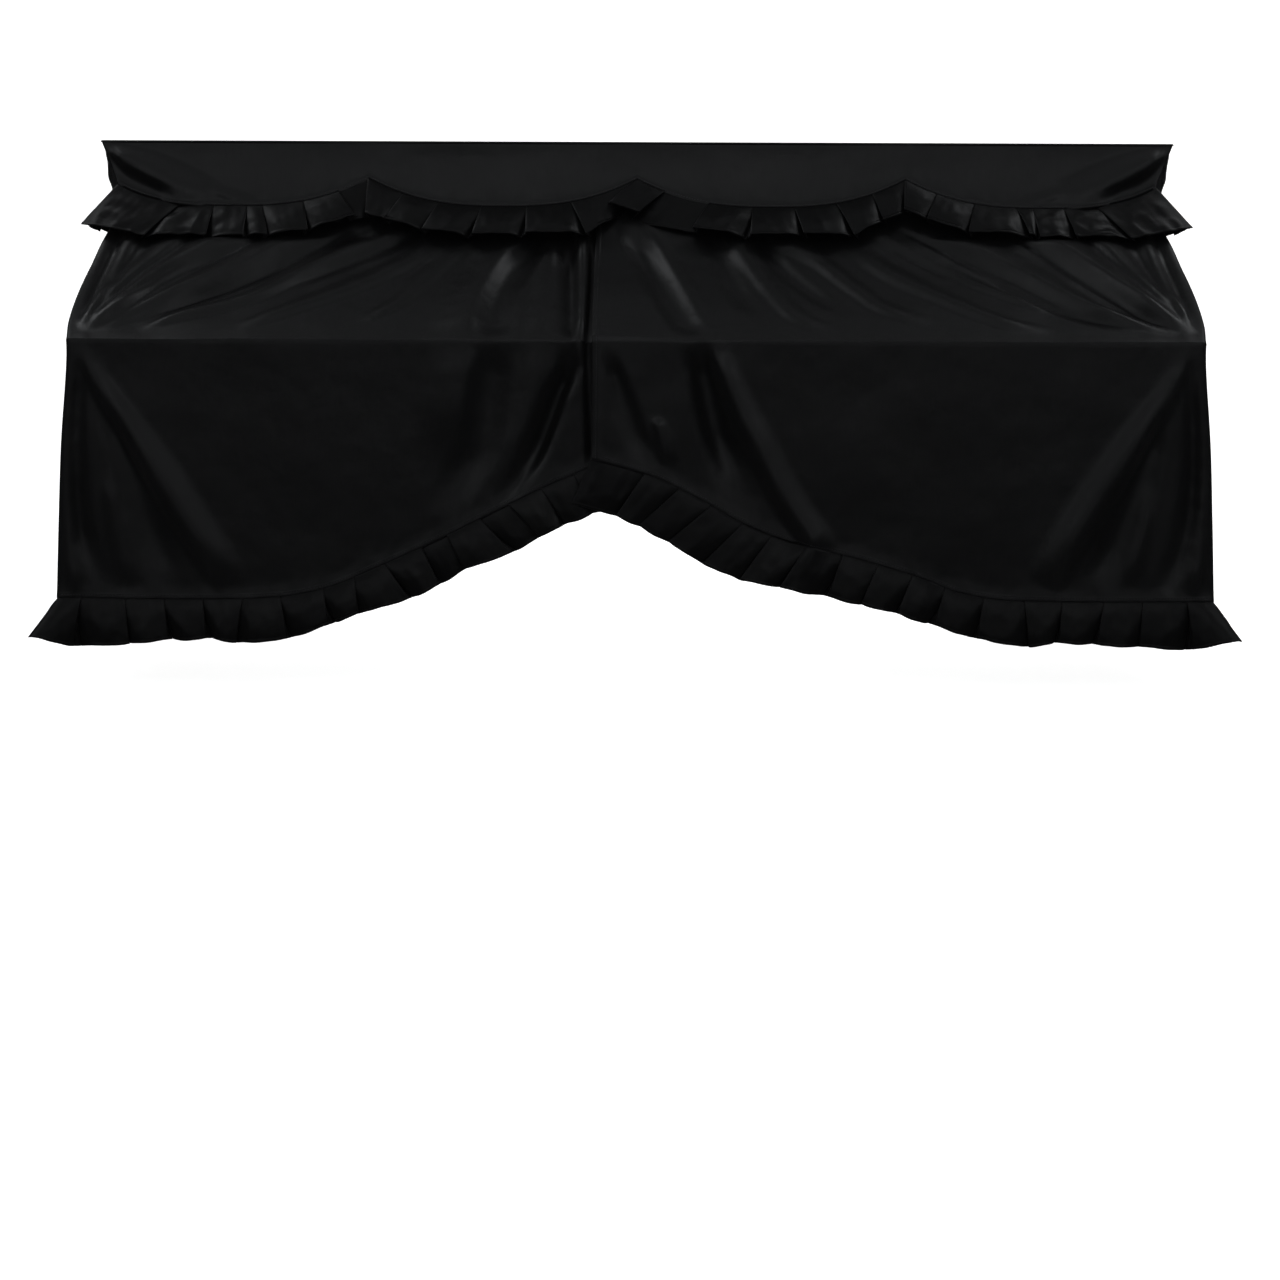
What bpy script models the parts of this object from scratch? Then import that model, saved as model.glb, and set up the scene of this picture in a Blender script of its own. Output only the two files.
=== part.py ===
"""Ruffled satin cover for an upright piano, draped as it hangs over the closed instrument.

Metres, +Z up. X runs along the lid and -Y is the front. The origin is the centre of the
underside of the top panel, where the piano's lid carries the cover. The piano is not built:
the cover is a hollow of thin sheets, each cut piece its own closed solid.
"""

import bisect
import math
from collections import namedtuple

import bmesh
import bpy
from mathutils import Vector

# --- driving sizes -----------------------------------------------------------------------
CLOTH = 0.0012          # thickness of every sheet
GAP = 0.0003            # clearance between two sheets that are sewn together
SEAM_DROP = 0.0009      # from a sheet's lower edge down to the ruffle sewn to it
LAYER = CLOTH + GAP     # middle of one layer to the middle of the next
BUTT = CLOTH / 2 + 0.0006   # middle of a sheet to the edge that butts against its back

LID_HALF_WIDTH = 0.750
LID_HALF_DEPTH = 0.170
KEYBED_FRONT = -0.450   # y of the keybed's front edge
KEYBED_TOP = -0.262     # z of the keybed's front edge
HEM = -0.611            # z of the seam between curtain and hem ruffle
BACK_DROP = -0.500      # z of the back panel's hem

TOP_SEAM = -GAP         # the upright sheets end just under the top panel's rim
FRONT_Y = -LID_HALF_DEPTH - GAP - CLOTH / 2     # middle of the curtain at its top seam
SIDE_X = LID_HALF_WIDTH + GAP + CLOTH / 2       # middle of the side panel at its top seam
VALANCE_Y = FRONT_Y - 2 * LAYER                 # two curtain layers lie behind the valance
VALANCE_X = SIDE_X + LAYER + CLOTH / 2          # half-width of the front valance at the top
BACK_Y = -VALANCE_Y                             # middle of the back panel at its top seam
BACK_BUTT = BACK_Y - CLOTH / 2 - GAP            # where the side panels end at the back
PANEL_HALF_WIDTH = VALANCE_X + GAP              # the top panel covers every seam round it
PANEL_HALF_DEPTH = BACK_Y + CLOTH / 2 + GAP

SATIN_BLACK = (0.012, 0.012, 0.013, 1.0)
SATIN_ROUGHNESS = 0.42

# --- tables ------------------------------------------------------------------------------
# Half-width of the front, read down its side edge: drawn in under the valance's corner,
# out again over the keybed's end, then slowly wider to the hem.
Width = namedtuple("Width", "z half")
FRONT_WIDTHS = (
    Width(TOP_SEAM, SIDE_X + CLOTH / 2),
    Width(-0.012, 0.7445),
    Width(-0.030, 0.7355),
    Width(-0.061, 0.7225),
    Width(-0.090, 0.7235),
    Width(-0.115, 0.7360),
    Width(-0.140, 0.7470),
    Width(-0.165, 0.7540),
    Width(-0.190, 0.7605),
    Width(-0.215, 0.7640),
    Width(-0.240, 0.7640),
    Width(-0.262, 0.7600),
    Width(-0.300, 0.7605),
    Width(-0.400, 0.7690),
    Width(-0.500, 0.7740),
    Width(-0.611, 0.7785),
    Width(-0.650, 0.7790),
)

# Rise of each curtain's hem above HEM, from the outer corner to the parting in the middle.
Rise = namedtuple("Rise", "x rise")
LEFT_ARCH = (
    Rise(-0.80, 0.000), Rise(-0.51, 0.000), Rise(-0.42, 0.013), Rise(-0.34, 0.046),
    Rise(-0.25, 0.088), Rise(-0.16, 0.134), Rise(-0.08, 0.170), Rise(0.00, 0.206),
)
RIGHT_ARCH = (
    Rise(-0.12, 0.208), Rise(-0.057, 0.190), Rise(0.014, 0.170), Rise(0.08, 0.140),
    Rise(0.15, 0.101), Rise(0.22, 0.075), Rise(0.30, 0.056), Rise(0.38, 0.032),
    Rise(0.44, 0.010), Rise(0.52, 0.000), Rise(0.80, 0.000),
)

# Folds of the front cloth. Each runs along a bent line given by three places on the cloth
# (x, z), with its half-width on either side of that line and its height: above 0 a ridge,
# below 0 a trough. "fade" is the share of its length over which it dies away at each end.
Fold = namedtuple("Fold", "start middle end left right height fade")
CURTAIN_FOLDS = (
    # pulled from the keybed's left corner up to the lid
    Fold((-0.742, -0.252), (-0.736, -0.200), (-0.700, -0.120), 0.030, 0.030, 0.010, 0.30),
    Fold((-0.752, -0.254), (-0.755, -0.204), (-0.730, -0.120), 0.022, 0.022, -0.008, 0.30),
    Fold((-0.740, -0.256), (-0.690, -0.206), (-0.590, -0.110), 0.040, 0.045, 0.013, 0.25),
    Fold((-0.738, -0.258), (-0.650, -0.206), (-0.505, -0.110), 0.035, 0.040, -0.008, 0.30),
    Fold((-0.735, -0.259), (-0.610, -0.208), (-0.425, -0.110), 0.035, 0.050, 0.011, 0.25),
    Fold((-0.725, -0.261), (-0.560, -0.222), (-0.335, -0.120), 0.035, 0.045, 0.007, 0.30),
    Fold((-0.690, -0.266), (-0.470, -0.250), (-0.230, -0.185), 0.040, 0.050, 0.005, 0.35),
    # the same on the right
    Fold((0.742, -0.252), (0.738, -0.200), (0.710, -0.120), 0.030, 0.030, 0.010, 0.30),
    Fold((0.740, -0.255), (0.705, -0.200), (0.630, -0.110), 0.040, 0.035, 0.012, 0.25),
    Fold((0.738, -0.257), (0.680, -0.202), (0.590, -0.110), 0.030, 0.030, -0.008, 0.30),
    Fold((0.736, -0.258), (0.655, -0.206), (0.545, -0.110), 0.035, 0.035, 0.010, 0.25),
    Fold((0.733, -0.259), (0.610, -0.219), (0.440, -0.120), 0.040, 0.035, 0.009, 0.30),
    Fold((0.720, -0.262), (0.540, -0.226), (0.330, -0.115), 0.045, 0.035, 0.007, 0.30),
    # bent folds that run out on the keybed, right of the parting
    Fold((0.135, -0.115), (0.175, -0.213), (0.250, -0.260), 0.030, 0.035, 0.008, 0.30),
    Fold((0.195, -0.115), (0.290, -0.196), (0.390, -0.244), 0.035, 0.035, 0.007, 0.30),
    Fold((0.185, -0.120), (0.235, -0.205), (0.310, -0.250), 0.025, 0.030, -0.005, 0.30),
    # long folds that fall beside the parting to the arch
    Fold((-0.080, -0.100), (-0.080, -0.214), (-0.084, -0.330), 0.026, 0.022, 0.012, 0.20),
    Fold((-0.116, -0.100), (-0.116, -0.230), (-0.130, -0.390), 0.022, 0.022, -0.009, 0.20),
    Fold((-0.138, -0.100), (-0.192, -0.235), (-0.215, -0.500), 0.042, 0.032, -0.014, 0.15),
    Fold((-0.185, -0.110), (-0.240, -0.250), (-0.270, -0.480), 0.050, 0.040, 0.007, 0.25),
    Fold((-0.135, -0.280), (-0.155, -0.360), (-0.180, -0.490), 0.028, 0.028, 0.007, 0.25),
    Fold((-0.082, -0.290), (-0.120, -0.385), (-0.172, -0.480), 0.030, 0.026, -0.010, 0.20),
    Fold((0.008, -0.100), (0.085, -0.275), (0.155, -0.520), 0.034, 0.042, -0.013, 0.15),
    Fold((0.105, -0.262), (0.170, -0.395), (0.248, -0.560), 0.026, 0.036, 0.013, 0.20),
    Fold((-0.032, -0.290), (-0.020, -0.350), (0.012, -0.410), 0.026, 0.024, -0.007, 0.30),
    Fold((0.028, -0.340), (0.030, -0.395), (0.045, -0.445), 0.022, 0.024, 0.006, 0.35),
    # soft folds that drop from the keybed's corners to the hem
    Fold((-0.725, -0.295), (-0.640, -0.430), (-0.540, -0.620), 0.055, 0.040, 0.013, 0.20),
    Fold((-0.705, -0.370), (-0.672, -0.500), (-0.630, -0.650), 0.045, 0.045, -0.009, 0.25),
    Fold((-0.670, -0.320), (-0.570, -0.450), (-0.475, -0.610), 0.060, 0.050, -0.006, 0.30),
    Fold((-0.742, -0.400), (-0.740, -0.520), (-0.738, -0.640), 0.034, 0.036, 0.006, 0.35),
    Fold((0.720, -0.290), (0.635, -0.420), (0.515, -0.620), 0.040, 0.055, 0.013, 0.20),
    Fold((0.690, -0.370), (0.655, -0.500), (0.608, -0.650), 0.045, 0.045, -0.009, 0.25),
    Fold((0.742, -0.400), (0.740, -0.520), (0.738, -0.640), 0.036, 0.034, 0.006, 0.35),
)
VALANCE_FOLDS = (
    # pulled from the lid's front corners towards the lowest part of the outer swags
    Fold((-0.742, -0.006), (-0.665, -0.044), (-0.570, -0.095), 0.020, 0.022, 0.0070, 0.20),
    Fold((-0.745, -0.026), (-0.690, -0.062), (-0.630, -0.092), 0.018, 0.018, -0.0060, 0.25),
    Fold((-0.720, -0.003), (-0.600, -0.024), (-0.470, -0.070), 0.024, 0.030, 0.0030, 0.30),
    Fold((0.742, -0.006), (0.665, -0.044), (0.570, -0.095), 0.022, 0.020, 0.0070, 0.20),
    Fold((0.745, -0.026), (0.690, -0.062), (0.630, -0.092), 0.018, 0.018, -0.0060, 0.25),
    Fold((0.720, -0.003), (0.600, -0.024), (0.470, -0.070), 0.030, 0.024, 0.0030, 0.30),
)
# Soft upright folds of the side and back panels: place at the top and at the hem (y on a
# side, x on the back), half-width and height at the hem.
Hang = namedtuple("Hang", "top low half height")
SIDE_HANGS = (
    Hang(-0.150, -0.330, 0.055, 0.010), Hang(-0.110, -0.215, 0.045, -0.008),
    Hang(-0.060, -0.110, 0.050, 0.011), Hang(0.010, -0.020, 0.045, -0.007),
    Hang(0.070, 0.080, 0.045, 0.009),
)
BACK_HANGS = (
    Hang(-0.560, -0.590, 0.070, 0.008), Hang(-0.300, -0.320, 0.080, 0.010),
    Hang(-0.030, -0.010, 0.090, 0.007), Hang(0.250, 0.280, 0.080, 0.011),
    Hang(0.540, 0.570, 0.070, 0.008),
)

# Knife pleats of the ruffles: where the fold meets the seam, where it ends on the free
# edge (x, z), and which piece lies on top there: -1 the left one, 1 the right one. "open"
# is how far the fold's underlay stays tucked in at the free edge; below 0 it gapes.
Pleat = namedtuple("Pleat", "top low_x low_z facing open")
VALANCE_PLEATS = (
    Pleat(-0.645, -0.686, -0.134, -1, 0.004), Pleat(-0.597, -0.600, -0.134, -1, -0.008),
    Pleat(-0.527, -0.517, -0.134, -1, -0.006), Pleat(-0.469, -0.458, -0.128, -1, 0.004),
    Pleat(-0.419, -0.394, -0.108, -1, 0.006), Pleat(-0.3765, -0.380, -0.105, 1, 0.002),
    Pleat(-0.326, -0.343, -0.114, 1, -0.004), Pleat(-0.276, -0.299, -0.127, 1, 0.004),
    Pleat(-0.216, -0.228, -0.134, 1, -0.010), Pleat(-0.154, -0.153, -0.132, 1, -0.012),
    Pleat(-0.092, -0.069, -0.132, 1, 0.002), Pleat(-0.041, -0.035, -0.116, 1, 0.004),
    Pleat(0.000, -0.006, -0.099, 1, 0.004), Pleat(0.048, 0.030, -0.110, 1, -0.004),
    Pleat(0.102, 0.078, -0.123, 1, 0.004), Pleat(0.163, 0.159, -0.134, 1, -0.012),
    Pleat(0.221, 0.233, -0.132, 1, -0.008), Pleat(0.280, 0.304, -0.133, 1, 0.002),
    Pleat(0.331, 0.345, -0.111, 1, 0.004), Pleat(0.3765, 0.374, -0.097, 1, 0.004),
    Pleat(0.421, 0.408, -0.110, 1, 0.004), Pleat(0.474, 0.462, -0.128, 1, -0.004),
    Pleat(0.534, 0.547, -0.131, 1, -0.006), Pleat(0.597, 0.607, -0.132, 1, -0.008),
    Pleat(0.649, 0.689, -0.134, 1, 0.004),
)
LEFT_HEM_PLEATS = (
    Pleat(-0.745, -0.756, -0.674, -1, -0.010), Pleat(-0.687, -0.680, -0.671, -1, 0.004),
    Pleat(-0.635, -0.628, -0.665, -1, -0.006), Pleat(-0.583, -0.577, -0.663, -1, -0.008),
    Pleat(-0.529, -0.537, -0.669, -1, 0.002), Pleat(-0.479, -0.468, -0.663, -1, -0.006),
    Pleat(-0.421, -0.413, -0.645, -1, -0.010), Pleat(-0.379, -0.372, -0.629, -1, 0.002),
    Pleat(-0.339, -0.305, -0.609, -1, -0.006), Pleat(-0.290, -0.264, -0.590, -1, -0.004),
    Pleat(-0.254, -0.228, -0.568, 1, 0.002), Pleat(-0.212, -0.166, -0.546, -1, -0.006),
    Pleat(-0.172, -0.126, -0.524, 1, -0.006), Pleat(-0.128, -0.092, -0.507, 1, -0.004),
    Pleat(-0.084, -0.058, -0.493, 1, 0.004),
)
RIGHT_HEM_PLEATS = (
    Pleat(0.014, -0.026, -0.495, 1, 0.006), Pleat(0.062, 0.004, -0.508, 1, 0.006),
    Pleat(0.105, 0.044, -0.530, 1, 0.006), Pleat(0.147, 0.090, -0.560, 1, 0.006),
    Pleat(0.186, 0.141, -0.582, 1, 0.004), Pleat(0.230, 0.195, -0.591, 1, -0.002),
    Pleat(0.280, 0.259, -0.604, 1, -0.006), Pleat(0.328, 0.304, -0.614, 1, 0.004),
    Pleat(0.374, 0.353, -0.627, 1, -0.004), Pleat(0.418, 0.402, -0.642, 1, -0.008),
    Pleat(0.470, 0.460, -0.660, 1, -0.006), Pleat(0.524, 0.530, -0.671, 1, 0.002),
    Pleat(0.575, 0.570, -0.665, 1, -0.006), Pleat(0.631, 0.621, -0.667, 1, -0.006),
    Pleat(0.683, 0.678, -0.670, 1, 0.004), Pleat(0.742, 0.750, -0.673, 1, -0.010),
)
# The same folds on the sides, read from the front corner back: place as a share of the
# side's length, how far out and how far down from the seam the fold's lower end lies.
SidePleat = namedtuple("SidePleat", "share out drop open")
SIDE_VALANCE_PLEATS = (
    SidePleat(0.167, 0.034, 0.040, -0.002), SidePleat(0.333, 0.024, 0.036, 0.004),
    SidePleat(0.500, 0.028, 0.038, -0.002), SidePleat(0.667, 0.027, 0.042, 0.004),
    SidePleat(0.833, 0.022, 0.045, -0.002),
)
SIDE_HEM_PLEATS = (
    SidePleat(0.091, 0.018, 0.053, -0.002), SidePleat(0.182, 0.008, 0.058, -0.007),
    SidePleat(0.273, 0.008, 0.058, 0.003), SidePleat(0.364, 0.011, 0.053, -0.002),
    SidePleat(0.455, 0.005, 0.056, -0.007), SidePleat(0.545, 0.008, 0.059, 0.003),
    SidePleat(0.636, 0.011, 0.054, -0.002), SidePleat(0.727, 0.005, 0.055, -0.007),
    SidePleat(0.818, 0.008, 0.059, 0.003), SidePleat(0.909, 0.010, 0.056, -0.002),
)
PLEAT_TUCK = 0.009      # underlay of each fold at the seam
FOLD_TURN = 0.0022      # middle to middle of the two layers at a fold's tip


# --- small helpers -----------------------------------------------------------------------
def ease(share):
    """Smooth step from 0 to 1."""
    share = min(max(share, 0.0), 1.0)
    return share * share * (3.0 - 2.0 * share)


def ramp(value, start, end):
    return ease((value - start) / (end - start))


def mix(a, b, share):
    return a + (b - a) * share


def curve_through(places, values, place):
    """Smooth curve through a table's rows, read at one place (places rise)."""
    place = min(max(place, places[0]), places[-1])
    row = min(max(bisect.bisect_right(places, place) - 1, 0), len(places) - 2)

    def slope(i):
        low, high = max(i - 1, 0), min(i + 1, len(places) - 1)
        return (values[high] - values[low]) / (places[high] - places[low])

    step = places[row + 1] - places[row]
    t = (place - places[row]) / step
    start = (1 + 2 * t) * (1 - t) ** 2 * values[row] + t * (1 - t) ** 2 * step * slope(row)
    end = t * t * (3 - 2 * t) * values[row + 1] + t * t * (t - 1) * step * slope(row + 1)
    return start + end


def bend(start, middle, end, share):
    """Point on a quadratic curve that bends past the middle point."""
    return tuple(
        (1 - share) ** 2 * a + 2 * share * (1 - share) * b + share * share * c
        for a, b, c in zip(start, middle, end)
    )


def spread(bands):
    """Places from bands of (start, end, number of steps), without repeats."""
    places = []
    for start, end, steps in bands:
        places += [mix(start, end, i / steps) for i in range(steps)]
    return places + [bands[-1][1]]


# --- the front drop seen from the side ---------------------------------------------------
SLACK = ((-0.171, -0.146), (-0.308, -0.188))    # the slope sags towards these two points
EDGE_RUN = 0.014        # the cloth turns over the keybed's edge within this reach
HEM_Y = -0.458          # the drop leans out a little towards its hem
SLOPE_END = (KEYBED_FRONT + 0.967 * EDGE_RUN, KEYBED_TOP + 0.256 * EDGE_RUN)
EDGE_END = (KEYBED_FRONT - 0.0003, KEYBED_TOP - EDGE_RUN)
DROP_END = (HEM_Y, -0.650)


def side_profile():
    """Points (y, z) down the middle of the front cloth, with the run of cloth to each."""
    points = []
    for i in range(61):
        upper = bend((FRONT_Y, TOP_SEAM), *SLACK, i / 60)
        lower = bend(*SLACK, SLOPE_END, i / 60)
        points.append(tuple(mix(a, b, i / 60) for a, b in zip(upper, lower)))
    edge = (KEYBED_FRONT, KEYBED_TOP)
    points += [bend(SLOPE_END, edge, EDGE_END, i / 10) for i in range(1, 11)]
    points += [tuple(mix(EDGE_END[k], DROP_END[k], i / 20) for k in (0, 1)) for i in range(1, 21)]
    runs = [0.0]
    for before, after in zip(points, points[1:]):
        runs.append(runs[-1] + math.dist(before, after))
    return points, runs


PROFILE, RUNS = side_profile()
SLOPE_RUN = RUNS[60]    # cloth from the top seam to the keybed's edge
EDGE_OVER = RUNS[70]    # cloth until it hangs free again


def profile_at(run):
    """Place (y, z) and outward direction on the side profile after a run of cloth."""
    run = min(max(run, 0.0), RUNS[-1])
    i = min(max(bisect.bisect_right(RUNS, run) - 1, 0), len(RUNS) - 2)
    share = (run - RUNS[i]) / (RUNS[i + 1] - RUNS[i])
    y = mix(PROFILE[i][0], PROFILE[i + 1][0], share)
    z = mix(PROFILE[i][1], PROFILE[i + 1][1], share)
    low, high = max(i - 1, 0), min(i + 2, len(PROFILE) - 1)
    along = Vector((PROFILE[high][0] - PROFILE[low][0], PROFILE[high][1] - PROFILE[low][1]))
    along.normalize()
    return y, z, Vector((0.0, along.y, -along.x))


DEPTHS = [-z for y, z in PROFILE]


def run_at(z):
    """Run of cloth from the top seam down to height z."""
    i = min(max(bisect.bisect_right(DEPTHS, -z) - 1, 0), len(DEPTHS) - 2)
    share = (-z - DEPTHS[i]) / (DEPTHS[i + 1] - DEPTHS[i])
    return mix(RUNS[i], RUNS[i + 1], min(max(share, 0.0), 1.0))


WIDTH_DEPTHS = [-row.z for row in FRONT_WIDTHS]
WIDTH_HALVES = [row.half for row in FRONT_WIDTHS]


def half_width(z):
    return curve_through(WIDTH_DEPTHS, WIDTH_HALVES, -z)


def arch_height(arch, x):
    """Height of a curtain's hem seam."""
    return HEM + curve_through([row.x for row in arch], [row.rise for row in arch], x)


# --- folds -------------------------------------------------------------------------------
LINE_STEPS = 12


def lay_folds(folds, place):
    """Each fold's line as points on the flat cloth; place turns (x, z) into them."""
    laid = []
    for fold in folds:
        ends = (place(fold.start), place(fold.middle), place(fold.end))
        line = [bend(*ends, i / LINE_STEPS) for i in range(LINE_STEPS + 1)]
        laid.append((fold, line))
    return laid


def fold_height(laid, x, run):
    """Height of all folds together at one point of the flat cloth."""
    total = 0.0
    for fold, line in laid:
        reach = max(fold.left, fold.right)
        best = None
        for i in range(LINE_STEPS):
            ax, ar = line[i]
            bx, br = line[i + 1]
            dx, dr = bx - ax, br - ar
            share = ((x - ax) * dx + (run - ar) * dr) / (dx * dx + dr * dr)
            share = min(max(share, 0.0), 1.0)
            gap = math.hypot(x - ax - dx * share, run - ar - dr * share)
            if gap < reach and (best is None or gap < best[0]):
                side = dx * (run - ar) - dr * (x - ax)
                best = (gap, (i + share) / LINE_STEPS, side)
        if best is None:
            continue
        gap, share, side = best
        half = fold.left if side > 0 else fold.right
        if gap < half:
            fade = ease(share / fold.fade) * ease((1.0 - share) / fold.fade)
            total += fold.height * fade * 0.5 * (1.0 + math.cos(math.pi * gap / half))
    return total


CURTAIN_LINES = lay_folds(CURTAIN_FOLDS, lambda place: (place[0], run_at(place[1])))
VALANCE_LINES = lay_folds(VALANCE_FOLDS, lambda place: (place[0], -place[1]))


# --- surfaces of the cut pieces (the middle of each sheet) -------------------------------
EDGE_TROUGH = 0.25      # share of its depth that a trough keeps on the keybed's edge


def curtain_point(u, run, lift=0.0):
    """Front cloth: u from -1 to 1 across, run of cloth down from the top seam."""
    y, z, out = profile_at(run)
    half = half_width(z)
    x = u * half
    free = ramp(run, 0.09, 0.18) * ramp(half - abs(x), 0.0, 0.03)
    height = fold_height(CURTAIN_LINES, x, run)
    if height < 0.0:    # a trough runs shallow where the cloth bears on the keybed's edge
        height *= mix(EDGE_TROUGH, 1.0, ramp(abs(run - SLOPE_RUN), 0.01, 0.06))
    rise = lift + free * height
    return Vector((x, y + out.y * rise, z + out.z * rise))


def lap_lift(x, run):
    """The right curtain lies over the left one, and over its hem ruffle lower down."""
    over = LAYER + 0.002 * ramp(run, 0.03, 0.14) + 0.0075 * ramp(run, 0.05, 0.62)
    return over * (1.0 - ramp(x, -0.02, 0.11))


VALANCE_CORNER = -0.061     # z of the valance's lower edge at the corners
VALANCE_PEAK = -0.052       # z of it where two swags meet
VALANCE_LOW = -0.091        # z of it in the middle of a swag
SWAG_POWER = 2.6            # flat-bottomed swags
SWAG_WIDTH = 0.5            # of the half-width
CORNER_DRAW = 0.0255        # how far the corner is drawn in at its lower end
VALANCE_BULGE = (-0.183, -0.205)    # y of the valance half way down and at its reach
VALANCE_REACH = -0.100      # z of that reach


def swag(peak_before, peak_after, share):
    """Height of the lower edge across one swag."""
    peak = peak_before if share < 0.5 else peak_after
    return VALANCE_LOW + (peak - VALANCE_LOW) * abs(2 * share - 1) ** SWAG_POWER


def front_swags(u):
    peaks = (VALANCE_CORNER, VALANCE_PEAK, VALANCE_PEAK, VALANCE_PEAK, VALANCE_CORNER)
    across = max((u + 1.0) / SWAG_WIDTH, 0.0)
    i = min(int(across), len(peaks) - 2)
    return swag(peaks[i], peaks[i + 1], across - i)


def valance_y(z):
    share = (z - TOP_SEAM) / (VALANCE_REACH - TOP_SEAM)
    return bend((VALANCE_Y,), (VALANCE_BULGE[0],), (VALANCE_BULGE[1],), share)[0]


def corner_draw(z):
    share = (TOP_SEAM - z) / (TOP_SEAM - VALANCE_CORNER)
    return CORNER_DRAW * min(max(share, 0.0), 1.0)


def valance_point(u, share):
    """Front valance: u from -1 to 1 across, share from its top seam to its lower edge."""
    z = mix(TOP_SEAM, front_swags(u), share)
    x = u * VALANCE_X - math.copysign(corner_draw(z) * abs(u) ** 8, u)
    free = ramp(share, 0.0, 0.3) * ramp(1.0 - abs(u), 0.0, 0.04)
    rise = free * fold_height(VALANCE_LINES, x, -z)
    return Vector((x, valance_y(z) - rise, z))


CORNER_REACH = 0.12         # length of side cloth that the drawn-in corner affects
DRAWN_TO = -0.165           # y up to which the side cloth stays drawn in behind the valance
BACK_HALF = 0.765           # half-width of the cover at the back of its hem


def side_front(run):
    """Front edge (y, z) of the side panel: it butts against the back of the curtain."""
    y, z, out = profile_at(run)
    return y - out.y * BUTT, z - out.z * BUTT


def side_point(side, y, z, front_y):
    """Side panel at y, z; side is -1 on the left and 1 on the right."""
    plumb = mix(SIDE_X, BACK_HALF, ramp(-z, 0.0, 1.2) * 2.0)
    drawn = half_width(z) - CLOTH / 2
    start = mix(DRAWN_TO, front_y, ramp(-z, 0.10, 0.16))
    x = mix(drawn, plumb, ramp(y - start, 0.0, CORNER_REACH))
    hang = min(max(z / HEM, 0.0), 1.0)
    free = ease(hang) * ramp(y - front_y, 0.0, 0.08) * ramp(BACK_BUTT - y, 0.0, 0.05)
    for fold in SIDE_HANGS:
        gap = abs(y - mix(fold.top, fold.low, hang)) / fold.half
        if gap < 1.0:
            x += free * fold.height * 0.5 * (1.0 + math.cos(math.pi * gap))
    return Vector((side * x, y, z))


SIDE_VALANCE_BACK = BACK_Y + CLOTH / 2
SIDE_VALANCE_FRONT = -0.185


def side_valance_point(side, along, share):
    """Side valance: one swag, along from its front corner to its back end."""
    low = swag(VALANCE_CORNER, VALANCE_CORNER, along)
    z = mix(TOP_SEAM, low, share)
    front = valance_y(z) + BUTT
    y = mix(front, SIDE_VALANCE_BACK, along)
    drawn = corner_draw(z) * (1.0 - ramp(y, SIDE_VALANCE_FRONT, SIDE_VALANCE_FRONT + CORNER_REACH))
    clear = 0.003 * ramp(TOP_SEAM - z, 0.0, 0.03) * ramp(along, 0.0, 0.3)
    return Vector((side * (SIDE_X + LAYER + clear - drawn), y, z))


def back_point(u, share):
    """Back panel: u from -1 to 1 across, share from its top seam to its hem."""
    z = mix(TOP_SEAM, BACK_DROP, share)
    half = mix(SIDE_X, BACK_HALF, ramp(-z, 0.0, 1.2) * 2.0) + CLOTH / 2
    x = u * half
    rise = 0.0
    for fold in BACK_HANGS:
        gap = abs(x - mix(fold.top, fold.low, share)) / fold.half
        if gap < 1.0:
            rise += fold.height * 0.5 * (1.0 + math.cos(math.pi * gap))
    free = ease(share) * ramp(1.0 - abs(u), 0.0, 0.08)
    return Vector((x, BACK_Y + free * rise, z))


# --- meshes ------------------------------------------------------------------------------
def satin(name):
    """Black polyester satin."""
    material = bpy.data.materials.new(name)
    material.use_nodes = True
    shader = material.node_tree.nodes["Principled BSDF"]
    shader.inputs["Base Color"].default_value = SATIN_BLACK
    shader.inputs["Roughness"].default_value = SATIN_ROUGHNESS
    shader.inputs["Metallic"].default_value = 0.0
    return material


SHARPEST_MITRE = 1.2    # squared length of two normals' sum, below which a corner is cut


def sheet(name, grid):
    """Closed sheet of cloth round a grid of middle points: grid[column][row]."""
    columns, rows = len(grid), len(grid[0])
    mesh = bpy.data.meshes.new(name)
    shape = bmesh.new()

    def offset(i, j):
        down = grid[i][min(j + 1, rows - 1)] - grid[i][max(j - 1, 0)]
        faces = []
        if i > 0:
            faces.append((grid[i][j] - grid[i - 1][j]).cross(down).normalized())
        if i < columns - 1:
            faces.append((grid[i + 1][j] - grid[i][j]).cross(down).normalized())
        total = faces[0] + faces[-1]
        return total * (CLOTH / max(total.length_squared, SHARPEST_MITRE))

    layers = []
    for sign in (1.0, -1.0):    # the front of the cloth, then its back
        layers.append([
            [shape.verts.new(grid[i][j] + offset(i, j) * sign) for j in range(rows)]
            for i in range(columns)
        ])
    over, under = layers
    for i in range(columns - 1):
        for j in range(rows - 1):
            for face in (over, under):
                shape.faces.new((face[i][j], face[i][j + 1], face[i + 1][j + 1], face[i + 1][j]))
        for j in (0, rows - 1):
            shape.faces.new((over[i][j], over[i + 1][j], under[i + 1][j], under[i][j]))
    for j in range(rows - 1):
        for i in (0, columns - 1):
            shape.faces.new((over[i][j], over[i][j + 1], under[i][j + 1], under[i][j]))
    bmesh.ops.recalc_face_normals(shape, faces=shape.faces)
    shape.to_mesh(mesh)
    shape.free()
    mesh.shade_smooth()
    mesh.set_sharp_from_angle(angle=math.radians(50.0))
    mesh.materials.append(satin(name + "_satin"))
    piece = bpy.data.objects.new(name, mesh)
    bpy.context.collection.objects.link(piece)
    return piece


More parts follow.
